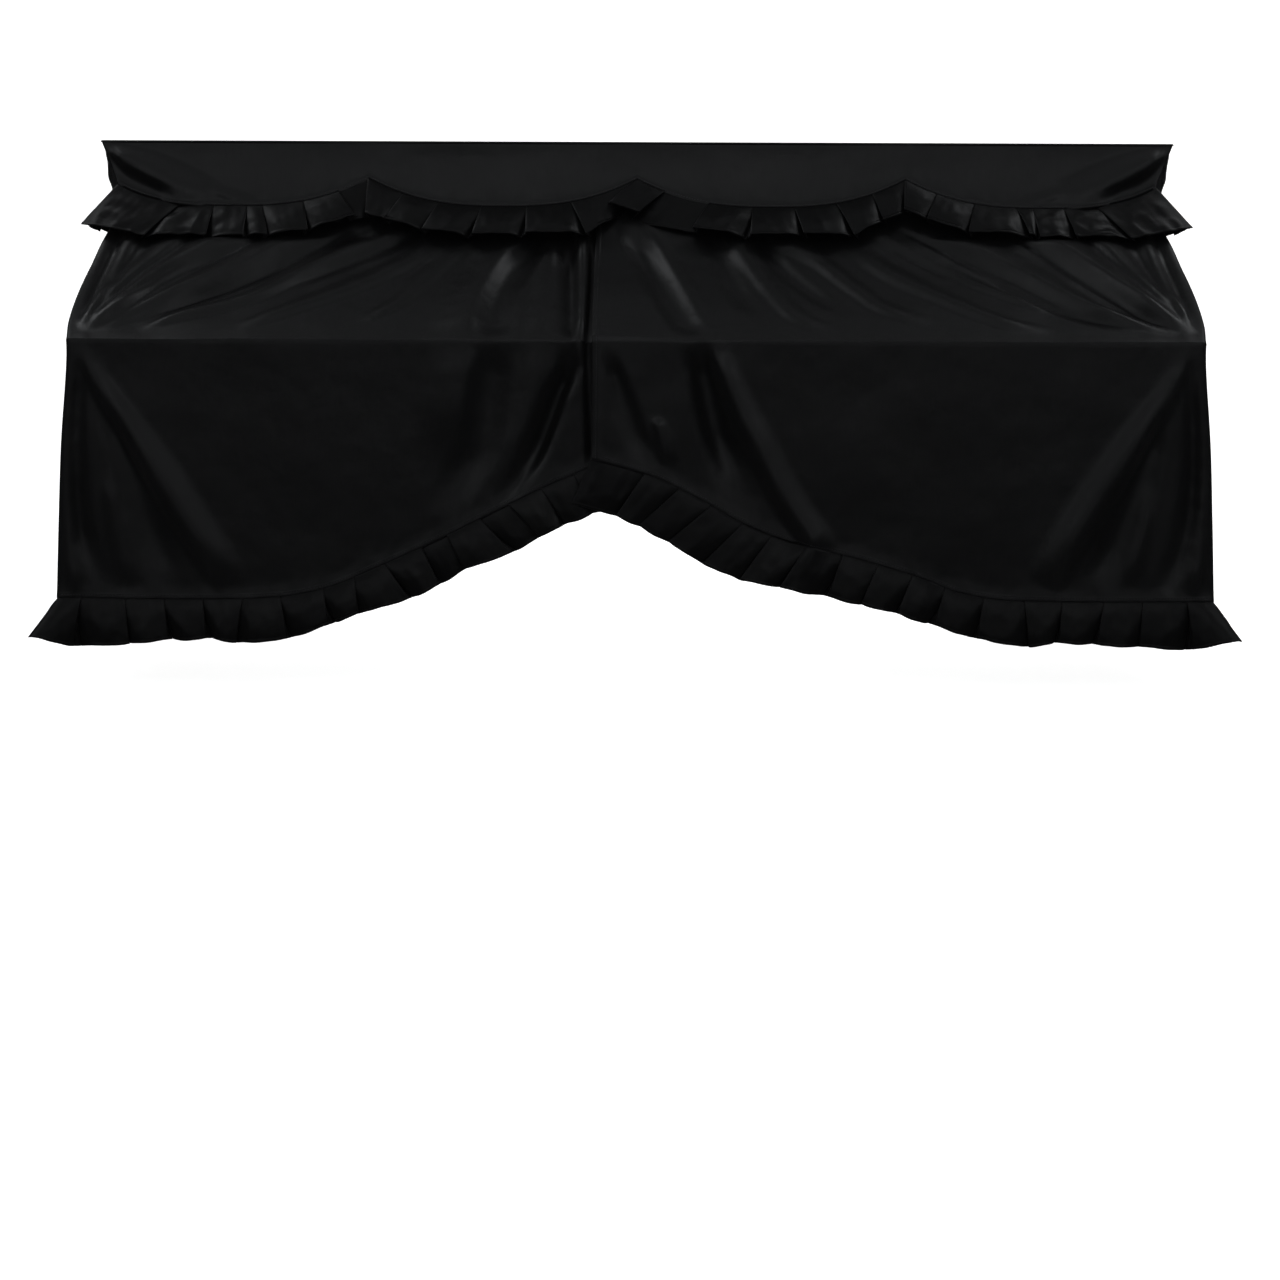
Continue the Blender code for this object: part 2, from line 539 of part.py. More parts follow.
Station = namedtuple("Station", "along low facing open depth")
RUFFLE_ROWS = (0.0, 0.45, 1.0)
TOP_DEPTH = 0.006       # height of a fold over the seam's plane
PANEL_STEP = 0.034      # widest step between two points of a ruffle's panel
PUFF = 0.002            # how far a panel bellies out at its free edge


def panel_shares(before, after):
    """Places of the points between two neighbouring folds, as shares of their distance."""
    steps = max(2, math.ceil(abs(after - before) / PANEL_STEP))
    return [i / steps for i in range(1, steps)]


def seam_places(stations):
    """Every place along the seam at which a ruffle has points."""
    places = []
    for before, after in zip(stations, stations[1:]):
        places += [before.along, before.along + PLEAT_TUCK * before.facing]
        shares = panel_shares(before.along, after.along)
        places += [mix(before.along, after.along, share) for share in shares]
    return sorted(set(places + [stations[-1].along]))


def ruffle_grid(stations, seam, outward):
    """Middle points of a knife-pleated strip.

    Each station is a fold: its place along the seam, its place on the free edge, which
    side lies on top, its underlay and height there. seam(along) is the top edge.
    """
    count = len(stations)
    grid = []
    for k, station in enumerate(stations):
        before = stations[max(k - 1, 0)]
        after = stations[min(k + 1, count - 1)]
        top = seam(station.along)
        top_way = (seam(after.along) - seam(before.along)).normalized()
        low_way = (after.low - before.low).normalized()
        out = top_way.cross(station.low - top).normalized()
        if out.dot(outward) < 0.0:
            out.negate()
        level = Vector((out.x, out.y, 0.0)).normalized()

        def point(tuck_top, tuck_low, high_top, high_low, row):
            upper = seam(station.along + tuck_top) + level * high_top
            lower = station.low + low_way * tuck_low + out * high_low
            return mix(upper, lower, row)

        crest, crest_low = TOP_DEPTH, station.depth
        if station.facing == 0:
            section = [(0.0, 0.0, 0.0, 0.0)]
        else:
            tuck, tuck_low = PLEAT_TUCK * station.facing, station.open * station.facing
            inner = [(tuck, tuck_low, 0.0, 0.0), (tuck, tuck_low, FOLD_TURN, FOLD_TURN)]
            outer = [
                (0.0, 0.0, crest - FOLD_TURN, crest_low - FOLD_TURN),
                (0.0, 0.0, crest, crest_low),
            ]
            section = inner + outer
            if station.facing < 0:
                section.reverse()
        for place in section:
            grid.append([point(*place, row) for row in RUFFLE_ROWS])
        if k == count - 1:
            continue
        leave = 1.0 if station.facing > 0 else 0.0
        arrive = 1.0 if after.facing < 0 else 0.0
        for share in panel_shares(station.along, after.along):
            high = mix(leave, arrive, share)
            puff = PUFF * 4.0 * share * (1.0 - share)
            upper = seam(mix(station.along, after.along, share)) + level * (high * TOP_DEPTH)
            lower = mix(station.low, after.low, share) + out * (high * station.depth + puff)
            grid.append([mix(upper, lower, row) for row in RUFFLE_ROWS])
    return grid


# --- the pieces --------------------------------------------------------------------------
def make_top_panel():
    """Flat sheet on the lid, with its underside at z = 0."""
    mesh = bpy.data.meshes.new("top_panel")
    shape = bmesh.new()
    bmesh.ops.create_cube(shape, size=1.0)
    for vert in shape.verts:
        vert.co = Vector((
            vert.co.x * 2 * PANEL_HALF_WIDTH,
            vert.co.y * 2 * PANEL_HALF_DEPTH,
            (vert.co.z + 0.5) * CLOTH,
        ))
    shape.to_mesh(mesh)
    shape.free()
    mesh.materials.append(satin("top_panel_satin"))
    panel = bpy.data.objects.new("top_panel", mesh)
    bpy.context.collection.objects.link(panel)


SLOPE_ROWS = 10
EDGE_ROWS = 3
DROP_ROWS = 7
UPPER_RUNS = spread([(0.0, SLOPE_RUN, SLOPE_ROWS), (SLOPE_RUN, EDGE_OVER, EDGE_ROWS)])
HEM_HALF = half_width(HEM)
LEFT_INNER = -0.024         # x of the left curtain's free edge, under the right one
RIGHT_INNER = -0.060        # x of the right curtain's free edge


def curtain_runs(arch, u):
    """Runs of cloth at the rows of one column, ending on its hem."""
    hem_run = run_at(arch_height(arch, u * HEM_HALF))
    lower = [mix(EDGE_OVER, hem_run, (j + 1) / DROP_ROWS) for j in range(DROP_ROWS)]
    return UPPER_RUNS + lower


def make_curtains():
    left = spread([(-HEM_HALF, -0.56, 9), (-0.56, -0.28, 8), (-0.28, LEFT_INNER, 12)])
    right = spread([(RIGHT_INNER, 0.26, 15), (0.26, 0.56, 8), (0.56, HEM_HALF, 9)])
    grid = []
    for x in left:
        u = x / HEM_HALF
        grid.append([curtain_point(u, run) for run in curtain_runs(LEFT_ARCH, u)])
    sheet("curtain_left", grid)
    grid = []
    for x in right:
        u = x / HEM_HALF
        runs = curtain_runs(RIGHT_ARCH, u)
        grid.append([curtain_point(u, run, lap_lift(x, run)) for run in runs])
    sheet("curtain_right", grid)


SIDE_COLUMNS = 14


def make_sides():
    """Side panels: their rows end where the curtain's rows do, so the corner stays shut."""
    lower = [mix(EDGE_OVER, run_at(HEM), (j + 1) / DROP_ROWS) for j in range(DROP_ROWS)]
    for side, name in ((-1, "side_left"), (1, "side_right")):
        grid = []
        for i in range(SIDE_COLUMNS + 1):
            column = []
            for run in UPPER_RUNS + lower:
                front_y, z = side_front(run)
                y = mix(front_y, BACK_BUTT, i / SIDE_COLUMNS)
                column.append(side_point(side, y, z, front_y))
            grid.append(column)
        sheet(name, grid)


BACK_COLUMNS = 24
BACK_ROWS = 6


def make_back():
    grid = []
    for i in range(BACK_COLUMNS + 1):
        u = 2.0 * i / BACK_COLUMNS - 1.0
        grid.append([back_point(u, j / BACK_ROWS) for j in range(BACK_ROWS + 1)])
    sheet("back_panel", grid)


STAND_OFF = 0.011           # the valance ruffle's free edge stands this far before the curtains
WING = Vector((0.778, -0.212, -0.115))      # tip of the valance ruffle at the corner
HEM_WING = Vector((0.814, -0.478, -0.661))  # tip of the hem ruffle at the corner
WING_SHUT = BUTT + 0.001    # the side ruffle's tip stands this far behind the front one's
VALANCE_DEPTH = 0.010       # height of the folds on the free edge
HEM_DEPTH = 0.011
TUCKED_DEPTH = 0.007        # where the left ruffle lies under the right one
HEM_LEAN = 0.006            # how far the hem ruffle's free edge stands out from its seam
TUCKED_LEAN = 0.002
LEFT_FREE_END = (-0.030, -0.487)    # x, z of the ruffles' lower corners at the parting
RIGHT_FREE_END = (-0.086, -0.479)
VALANCE_STEP = 0.026        # widest column of a valance
VALANCE_ROWS = 3
SIDE_VALANCE_LENGTH = SIDE_VALANCE_BACK - SIDE_VALANCE_FRONT
VALANCE_SWING = 0.020       # how far forward the side ruffles' first folds are drawn
HEM_SWING = 0.008
VALANCE_BACK = Vector((0.024, 0.004, -0.043))   # from the seam to the ruffle's plain back end
HEM_BACK = Vector((0.008, 0.004, -0.056))


def below(point):
    return point - Vector((0.0, 0.0, SEAM_DROP))


def corner_tip(wing, side):
    """Front lower corner of a side ruffle, just behind the front ruffle's tip."""
    return Vector((side * (wing.x - CLOTH / 2), wing.y + WING_SHUT, wing.z))


def valance_columns(stations, surface):
    """Columns of a valance: one wherever its ruffle has points, and more where they are far."""
    grid = []
    places = seam_places(stations)
    for before, after in zip(places, places[1:]):
        steps = math.ceil((after - before) / VALANCE_STEP)
        for i in range(steps):
            along = mix(before, after, i / steps)
            grid.append([surface(along, j / VALANCE_ROWS) for j in range(VALANCE_ROWS + 1)])
    grid.append([surface(places[-1], j / VALANCE_ROWS) for j in range(VALANCE_ROWS + 1)])
    return grid


def make_front_valance():
    def surface(along, share):
        return valance_point(min(max(along / VALANCE_X, -1.0), 1.0), share)

    def seam(along):
        return below(surface(along, 1.0))

    stations = [Station(-VALANCE_X, Vector((-WING.x, WING.y, WING.z)), 0, 0.0, VALANCE_DEPTH)]
    for pleat in VALANCE_PLEATS:
        curtain_y = profile_at(run_at(pleat.low_z))[0]
        low = Vector((pleat.low_x, curtain_y - STAND_OFF, pleat.low_z))
        stations.append(Station(pleat.top, low, pleat.facing, pleat.open, VALANCE_DEPTH))
    stations.append(Station(VALANCE_X, WING, 0, 0.0, VALANCE_DEPTH))
    sheet("valance_front", valance_columns(stations, surface))
    sheet("valance_ruffle_front", ruffle_grid(stations, seam, Vector((0, -1, 0))))


def side_stations(pleats, tip, seam, length, start, swing, depth, back_low):
    """Folds of a side ruffle, from its front tip to its plain back end."""
    stations = [Station(start, tip, 0, 0.0, depth)]
    side = math.copysign(1.0, tip.x)
    for pleat in pleats:
        along = start + pleat.share * length
        forward = swing * (1.0 - pleat.share)
        low = seam(along) + Vector((side * pleat.out, -forward, -pleat.drop))
        stations.append(Station(along, low, 1, pleat.open, depth))
    end = seam(start + length)
    low = end + Vector((side * back_low.x, back_low.y, back_low.z))
    stations.append(Station(start + length, low, 0, 0.0, depth))
    return stations


def make_side_valance(side, end_name):
    """Side valance and its ruffle; along runs from the front corner to the back."""
    def surface(along, share):
        length_share = min(max(along / SIDE_VALANCE_LENGTH, 0.0), 1.0)
        return side_valance_point(side, length_share, share)

    def seam(along):
        return below(surface(along, 1.0))

    stations = side_stations(
        SIDE_VALANCE_PLEATS, corner_tip(WING, side), seam, SIDE_VALANCE_LENGTH, 0.0,
        VALANCE_SWING, VALANCE_DEPTH, VALANCE_BACK,
    )
    sheet("valance_" + end_name, valance_columns(stations, surface))
    sheet("valance_ruffle_" + end_name, ruffle_grid(stations, seam, Vector((side, 0, 0))))


def hem_seam(arch, lifted):
    """Top edge of a hem ruffle on one front curtain."""
    def seam(x):
        u = min(max(x / HEM_HALF, -1.0), 1.0)
        run = run_at(arch_height(arch, u * HEM_HALF))
        lift = lap_lift(x, run) if lifted else 0.0
        return below(curtain_point(u, run, lift))
    return seam


def make_hem_ruffles():
    seam = hem_seam(LEFT_ARCH, False)
    left_tip = Vector((-HEM_WING.x, HEM_WING.y, HEM_WING.z))
    stations = [Station(-HEM_HALF, left_tip, 0, 0.0, HEM_DEPTH)]
    for pleat in LEFT_HEM_PLEATS:
        tucked = ramp(pleat.top, -0.20, -0.12)
        depth = mix(HEM_DEPTH, TUCKED_DEPTH, tucked)
        low = Vector((pleat.low_x, seam(pleat.top).y - HEM_LEAN, pleat.low_z))
        stations.append(Station(pleat.top, low, pleat.facing, pleat.open, depth))
    low = Vector((LEFT_FREE_END[0], seam(LEFT_INNER).y - TUCKED_LEAN, LEFT_FREE_END[1]))
    stations.append(Station(LEFT_INNER, low, 0, 0.0, TUCKED_DEPTH))
    sheet("hem_ruffle_left", ruffle_grid(stations, seam, Vector((0, -1, 0))))

    seam = hem_seam(RIGHT_ARCH, True)
    low = Vector((RIGHT_FREE_END[0], seam(RIGHT_INNER).y - HEM_LEAN, RIGHT_FREE_END[1]))
    stations = [Station(RIGHT_INNER, low, 0, 0.0, HEM_DEPTH)]
    for pleat in RIGHT_HEM_PLEATS:
        low = Vector((pleat.low_x, seam(pleat.top).y - HEM_LEAN, pleat.low_z))
        stations.append(Station(pleat.top, low, pleat.facing, pleat.open, HEM_DEPTH))
    stations.append(Station(HEM_HALF, HEM_WING, 0, 0.0, HEM_DEPTH))
    sheet("hem_ruffle_right", ruffle_grid(stations, seam, Vector((0, -1, 0))))


def make_side_hem_ruffle(side, name):
    front_y, z = side_front(run_at(HEM))

    def seam(y):
        y = min(max(y, front_y), BACK_BUTT)
        return below(side_point(side, y, z, front_y))

    stations = side_stations(
        SIDE_HEM_PLEATS, corner_tip(HEM_WING, side), seam, BACK_BUTT - front_y, front_y,
        HEM_SWING, HEM_DEPTH, HEM_BACK,
    )
    sheet(name, ruffle_grid(stations, seam, Vector((side, 0, 0))))


for thing in list(bpy.data.objects):
    bpy.data.objects.remove(thing, do_unlink=True)
make_top_panel()
make_curtains()
make_sides()
make_back()
make_front_valance()
make_side_valance(-1, "left")
make_side_valance(1, "right")
make_hem_ruffles()
make_side_hem_ruffle(-1, "hem_ruffle_side_left")
make_side_hem_ruffle(1, "hem_ruffle_side_right")
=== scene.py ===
"""Ruffled satin cover for an upright piano: its looks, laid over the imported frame.

Metres, +Z up, -Y the front; the origin is the centre of the top panel's underside. Each
cut piece is a thin sheet on its solid's folds, with the finer folds and the seams added.
"""

import math
from collections import namedtuple

import bpy
import numpy as np
from mathutils import Matrix, Vector, noise


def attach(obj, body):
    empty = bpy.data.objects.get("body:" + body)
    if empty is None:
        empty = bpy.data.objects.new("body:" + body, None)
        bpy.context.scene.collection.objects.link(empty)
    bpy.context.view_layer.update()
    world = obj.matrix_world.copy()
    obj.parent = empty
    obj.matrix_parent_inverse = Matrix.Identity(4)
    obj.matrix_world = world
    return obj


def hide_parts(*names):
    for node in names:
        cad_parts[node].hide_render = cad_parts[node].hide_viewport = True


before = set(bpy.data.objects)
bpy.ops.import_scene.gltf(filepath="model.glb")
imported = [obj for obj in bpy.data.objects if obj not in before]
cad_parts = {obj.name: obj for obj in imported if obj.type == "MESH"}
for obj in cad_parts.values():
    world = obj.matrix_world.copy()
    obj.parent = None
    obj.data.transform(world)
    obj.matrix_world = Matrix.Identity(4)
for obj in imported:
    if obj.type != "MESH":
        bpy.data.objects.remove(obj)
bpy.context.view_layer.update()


# --- top panel ---------------------------------------------------------------------------
# A flat sheet of black polyester satin that lies on the piano's lid. Every upright piece
# is sewn to its rim face to face and turned over, so the rim is a sharp bare fold.
def linear(colour):
    """sRGB hex to the linear colour that Blender wants."""
    parts = [int(colour[i:i + 2], 16) / 255 for i in (1, 3, 5)]
    return [p / 12.92 if p <= 0.04045 else ((p + 0.055) / 1.055) ** 2.4 for p in parts] + [1.0]


def feed(tree, node, sockets):
    """Gives a node's inputs their values or links."""
    for name, value in sockets.items():
        if isinstance(value, bpy.types.NodeSocket):
            tree.links.new(value, node.inputs[name])
        else:
            node.inputs[name].default_value = value


def add_node(tree, kind, sockets, **settings):
    node = tree.nodes.new(kind)
    for name, value in settings.items():
        setattr(node, name, value)
    feed(tree, node, sockets)
    return node


def new_material(name):
    """A material, its node tree and the shader in it."""
    material = bpy.data.materials.new(name)
    material.use_nodes = True
    return material, material.node_tree, material.node_tree.nodes["Principled BSDF"]


def two_tones(tree, share, dark, light):
    """Colour that a share from 0 to 1 takes from dark to light."""
    blend = add_node(tree, "ShaderNodeMix", {
        0: share, 6: linear(dark), 7: linear(light)}, data_type="RGBA")
    return blend.outputs[2]


THREAD_GAP = 0.0005     # real warp threads lie 0.1 mm apart: drawn coarser, so that they show
SLUB = (0.0009, 0.030)  # width and length of the faint streaks that uneven threads leave
ROUGHER = 0.035         # how much rougher or smoother the worn patches are


def satin(name, dark, light, roughness, specular, sheen, anisotropy, weave):
    """Warp-faced polyester satin: long floats give a broad sheen that runs across them."""
    material, tree, shader = new_material(name)
    cloth = add_node(tree, "ShaderNodeUVMap", {}, uv_map="cloth").outputs["UV"]
    along = add_node(tree, "ShaderNodeMapping", {
        "Vector": cloth, "Scale": (1 / SLUB[0], 1 / SLUB[1], 1.0)})
    slubs = add_node(tree, "ShaderNodeTexNoise", {
        "Vector": along.outputs["Vector"], "Scale": 1.0, "Detail": 2.0, "Roughness": 0.5})
    clouds = add_node(tree, "ShaderNodeTexNoise", {
        "Vector": cloth, "Scale": 9.0, "Detail": 3.0, "Roughness": 0.55})
    threads = add_node(tree, "ShaderNodeTexWave", {
        "Vector": cloth, "Scale": 2 * math.pi / 20 / THREAD_GAP, "Distortion": 1.2,
        "Detail": 1.0, "Detail Scale": 0.6}, wave_type="BANDS", bands_direction="X")
    patchy = add_node(tree, "ShaderNodeMath", {
        0: slubs.outputs["Fac"], 1: clouds.outputs["Fac"]}, operation="MULTIPLY")
    tone, worn = (add_node(tree, "ShaderNodeMapRange", {
        "Value": patchy.outputs[0], "From Min": 0.14, "From Max": 0.40,
        "To Min": low, "To Max": high}) for low, high in (
            (0.0, 1.0), (roughness + ROUGHER, roughness - ROUGHER)))
    crinkle = add_node(tree, "ShaderNodeTexNoise", {
        "Vector": cloth, "Scale": 60.0, "Detail": 2.0, "Roughness": 0.45})
    soft = add_node(tree, "ShaderNodeBump", {
        "Height": crinkle.outputs["Fac"], "Strength": 0.35, "Distance": 0.0012})
    fine = add_node(tree, "ShaderNodeBump", {
        "Height": threads.outputs["Fac"], "Normal": soft.outputs["Normal"],
        "Strength": weave, "Distance": 0.00003})
    tangent = add_node(tree, "ShaderNodeTangent", {}, direction_type="UV_MAP", uv_map="cloth")
    feed(tree, shader, {
        "Base Color": two_tones(tree, tone.outputs["Result"], dark, light),
        "Roughness": worn.outputs["Result"], "Normal": fine.outputs["Normal"],
        "Tangent": tangent.outputs["Tangent"], "Metallic": 0.0, "IOR": 1.5,
        "Specular IOR Level": specular, "Anisotropic": anisotropy,
        "Sheen Weight": sheen, "Sheen Roughness": 0.5})
    return material


# The face shines, the reverse shows the short side of the weave and stays matt.
satin_face = satin("satin_face", "#060607", "#0b0b0c", roughness=0.40, specular=0.30,
                   sheen=0.01, anisotropy=0.35, weave=0.5)
satin_reverse = satin("satin_reverse", "#0a0a0b", "#111113", roughness=0.70, specular=0.15,
                      sheen=0.03, anisotropy=0.0, weave=0.8)
# The ruffles are strips cut across the cloth. Their satin is a darker, duller copy of the face: painted
# shade that makes them look as dark as ruffles lying in shade.
satin_strip_painted_shade = satin("satin_strip_painted_shade", "#050506", "#090909", roughness=0.36, specular=0.15,
                    sheen=0.005, anisotropy=0.35, weave=0.5)
CLOTH = 0.0007          # thickness of one layer as seen; the solids are thicker


def mix(a, b, share):
    return a + (b - a) * share


def clamp(share):
    return np.clip(share, 0.0, 1.0)


def ease(share):
    """Smooth step from 0 to 1."""
    share = clamp(share)
    return share * share * (3.0 - 2.0 * share)


def ramp(value, start, end):
    return ease((value - start) / (end - start))


def spots(x, y, z):
    """Grid of points; a coordinate may be one number."""
    return np.stack(np.broadcast_arrays(x, y, z), axis=-1)


def crumple(points, size, seed):
    """Smooth noise, from about -0.7 to 0.7, that changes over this size."""
    places = (points.reshape(-1, 3) / size + seed).tolist()
    return np.array([noise.noise(place) for place in places]).reshape(points.shape[:-1])


def crumples(points, *layers):
    """Crumples of several sizes together; a layer is its height, size and seed."""
    return sum(height * crumple(points, size, seed) for height, size, seed in layers)


def unit(vectors):
    return vectors / np.linalg.norm(vectors, axis=-1, keepdims=True)


def length_along(line):
    """Distance from a line's first point to each of its points."""
    return np.concatenate([[0.0], np.cumsum(np.linalg.norm(np.diff(line, axis=0), axis=1))])


def add_object(name, corners, faces, materials, smooth=True):
    mesh = bpy.data.meshes.new(name)
    mesh.from_pydata(corners, [], faces)
    if smooth:
        mesh.shade_smooth()
    for material in materials:
        mesh.materials.append(material)
    made = bpy.data.objects.new(name, mesh)
    bpy.context.collection.objects.link(made)
    return made


def lay_cloth(name, points, outward, face=satin_face):
    """Thin sheet through a grid of points [column, row], its face turned outward."""
    columns, rows = points.shape[:2]
    corner = np.arange(columns * rows).reshape(columns, rows)
    quads = np.stack(
        [corner[:-1, :-1], corner[:-1, 1:], corner[1:, 1:], corner[1:, :-1]], axis=-1)
    across, down = np.diff(points, axis=0), np.diff(points, axis=1)
    facing = np.cross(down[:-1], across[:, :-1]).sum(axis=(0, 1))
    if np.dot(facing, outward) < 0.0:
        quads = quads[..., ::-1]
    quads = quads.reshape(-1, 4)
    u = np.zeros((columns, rows))
    u[1:] = np.cumsum(np.linalg.norm(across, axis=2).mean(axis=1))[:, None]
    v = np.zeros((columns, rows))
    v[:, 1:] = np.cumsum(np.linalg.norm(down, axis=2), axis=1)
    piece = add_object(name, points.reshape(-1, 3).tolist(), quads.tolist(), (face, satin_reverse))
    places = np.stack([u, v], axis=-1).reshape(-1, 2)
    unrolled = piece.data.uv_layers.new(name="cloth")
    unrolled.data.foreach_set("uv", places[quads.ravel()].ravel())
    layer = piece.modifiers.new("cloth thickness", "SOLIDIFY")
    layer.thickness = CLOTH
    layer.offset = 0.0
    layer.material_offset = 1
    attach(piece, "root")
    return piece


def grid_normals(points, outward):
    """Outward direction at every point of a grid."""
    across = np.gradient(points, axis=0)
    down = np.gradient(points, axis=1)
    normals = np.cross(down, across)
    normals /= np.maximum(np.linalg.norm(normals, axis=-1, keepdims=True), 1e-12)
    if np.dot(normals.sum(axis=(0, 1)), outward) < 0.0:
        normals = -normals
    return normals


# Spun polyester thread, black, wiry enough to catch the light on each stitch.
seam_thread, tree, shader = new_material("polyester_thread")
twist = add_node(tree, "ShaderNodeTexNoise", {"Scale": 2500.0, "Detail": 1.0})
feed(tree, shader, {"Base Color": two_tones(tree, twist.outputs["Fac"], "#0c0c0d", "#232326"),
                    "Roughness": 0.5, "Specular IOR Level": 0.4})
STITCH_PITCH = 0.0040   # ten stitches to 40 mm
STITCH_LENGTH = 0.0028
STITCH_THICK = 0.0006


STITCH_RINGS = (        # along the stitch, its thickness there and how far out it stands
    (-0.5, 0.25, -0.9), (-0.25, 1.0, 0.0), (0.25, 1.0, 0.0), (0.5, 0.25, -0.9))
STITCH_SIDES = 5


def sew(name, rows):
    """Stitches along rows of (line, facing): a line of points and the cloth's directions."""
    corners, faces = [], []
    angles = np.arange(STITCH_SIDES) / STITCH_SIDES * 2 * math.pi
    for line, facing in rows:
        run = length_along(line)
        middles = np.arange(STITCH_PITCH, run[-1] - STITCH_PITCH / 2, STITCH_PITCH)

        def read(values, places):
            return np.stack([np.interp(places, run, values[:, k]) for k in range(3)], axis=-1)

        centre, out = read(line, middles), read(facing, middles)
        way = unit(read(line, middles + STITCH_LENGTH / 2) - read(line, middles - STITCH_LENGTH / 2))
        out = unit(out - way * (out * way).sum(axis=1, keepdims=True))
        side = np.cross(way, out)
        centre = centre + out * (CLOTH / 2 + STITCH_THICK * 0.3)
        for c, w, o, s in zip(centre, way, out, side):
            first = len(corners)
            for place, size, sink in STITCH_RINGS:
                ring = c + w * place * STITCH_LENGTH + o * sink * STITCH_THICK * 0.5
                for a in angles:
                    around = (o * math.cos(a) + s * math.sin(a)) * size * STITCH_THICK / 2
                    corners.append((ring + around).tolist())
            for start in range(first, len(corners) - STITCH_SIDES, STITCH_SIDES):
                for k in range(STITCH_SIDES):
                    a, b = start + k, start + (k + 1) % STITCH_SIDES
                    faces.append((a, b, b + STITCH_SIDES, a + STITCH_SIDES))
            faces.append(tuple(range(first + STITCH_SIDES - 1, first - 1, -1)))
            faces.append(tuple(range(len(corners) - STITCH_SIDES, len(corners))))
    piece = add_object(name, corners, faces, [seam_thread])
    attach(piece, "root")
    return piece


def put_on(node, points, outward, stitched=(), face=satin_face, **facts):
    """One piece's cloth in place of its solid; stitched picks the rows of points to sew."""
    cloth = lay_cloth(node + "_cloth", points, outward, face)
    if stitched:
        normals = grid_normals(points, outward)
        rows = [(points[row], normals[row]) for row in stitched]
        facts["with_pieces"] = [sew(node + "_thread", rows)]
    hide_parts(node)
    return cloth


TOP_SEAM = -0.0003      # the upright sheets end just under the top panel's rim
LAYER = 0.0015          # middle of one solid sheet to the middle of the next
FRONT_Y = -0.1709       # middle of the curtains at their top seam
SIDE_X = 0.7509         # middle of the side panels at their top seam
VALANCE_Y = FRONT_Y - 2 * LAYER
VALANCE_X = SIDE_X + LAYER + 0.0006
BACK_Y = -VALANCE_Y
PANEL_HALF_WIDTH = VALANCE_X + 0.0008
PANEL_HALF_DEPTH = BACK_Y + 0.0012
RIM = 0.0022            # the rim turns down over the upright sheets by this radius
SEAM_TURNED_IN = 0.009  # width of the seam allowance that shows through from below

RIM_ANGLES = np.radians((0, 22, 45, 67, 90))
RIM_ROWS = np.array((0.014, 0.0115, 0.0100, 0.0088, 0.0076, 0.0060, 0.0042, 0.0020))
rim_turn = RIM * (1.0 - np.cos(RIM_ANGLES))
rim_reach = RIM * np.sin(RIM_ANGLES)


def to_the_rim(half, steps):
    """Places across the panel with close rows at both rims, and how far each turns down."""
    flat = half - RIM
    inner = np.concatenate([np.linspace(0.0, flat - RIM_ROWS[0], steps), flat - RIM_ROWS[1:]])
    places = np.concatenate([inner, flat + rim_reach])
    sink = np.concatenate([inner * 0.0, rim_turn])
    return np.concatenate([-places[:0:-1], places]), np.concatenate([sink[:0:-1], sink])


panel_x, sink_x = to_the_rim(PANEL_HALF_WIDTH, 76)
panel_y, sink_y = to_the_rim(PANEL_HALF_DEPTH, 20)
x, y = np.meshgrid(panel_x, panel_y[::-1], indexing="ij")
inside = np.minimum(PANEL_HALF_WIDTH - np.abs(x), PANEL_HALF_DEPTH - np.abs(y))
points = spots(x, y, 0.0)
wrinkle = 0.5 + crumples(points, (1.0, 0.110, 3.1), (0.5, 0.045, 8.2))
allowance = 0.0005 * ramp(inside, SEAM_TURNED_IN + 0.0016, SEAM_TURNED_IN - 0.0010)
points[..., 2] = 0.0007 + 0.0009 * ramp(inside, 0.004, 0.05) * np.clip(wrinkle, 0.0, 1.5) + allowance
points[..., 2] -= np.maximum(sink_x[:, None], sink_y[::-1][None, :])
TOP_STITCH = len(rim_turn) + 3      # stitched row, counted in from the edge of the cloth
STITCH_FROM = 7                     # the stitches start this many rows in from the ends
ends = slice(STITCH_FROM, -STITCH_FROM)
top_cloth = put_on(
    "top_panel", points, (0, 0, 1), flat=(1.51, 0.354), held="laid",
    stitched=[(ends, TOP_STITCH), (ends, len(panel_y) - TOP_STITCH - 1),
              (TOP_STITCH, ends), (len(panel_x) - TOP_STITCH - 1, ends)])


# --- curtains ----------------------------------------------------------------------------
# Two curtains of the same satin fall from the lid's front edge over the closed keyboard,
# bend over the keybed and hang to a hem that rises in an arch in the middle. The right
# one laps over the left one, with a narrow hem stitched along its free edge.
KEYBED_FRONT, KEYBED_TOP = -0.450, -0.262
HEM = -0.611            # z of the seam between curtain and hem ruffle
EDGE_RUN = 0.0025       # the cloth turns over the keybed's edge within this reach
CURTAIN_TURN = 0.006    # radius at which a curtain turns round to the side
HEM_REACH = 0.026       # the hem lifts off over this height, pushed out by the ruffle
HEM_LIFT = 0.0016
HEM_WELT = 0.0075       # height of the doubled hem
LEFT_INNER = -0.024     # the left curtain's free edge, under the right one
RIGHT_INNER = -0.060
WIDTHS = np.array((     # z and half-width of the front, read down its side edge
    (-0.0003, 0.7515), (-0.012, 0.7445), (-0.030, 0.7355), (-0.061, 0.7225), (-0.090, 0.7235),
    (-0.115, 0.7360), (-0.140, 0.7470), (-0.165, 0.7540), (-0.190, 0.7605), (-0.215, 0.7640),
    (-0.240, 0.7640), (-0.262, 0.7600), (-0.300, 0.7605), (-0.400, 0.7690), (-0.500, 0.7740),
    (-0.611, 0.7785), (-0.650, 0.7790)))
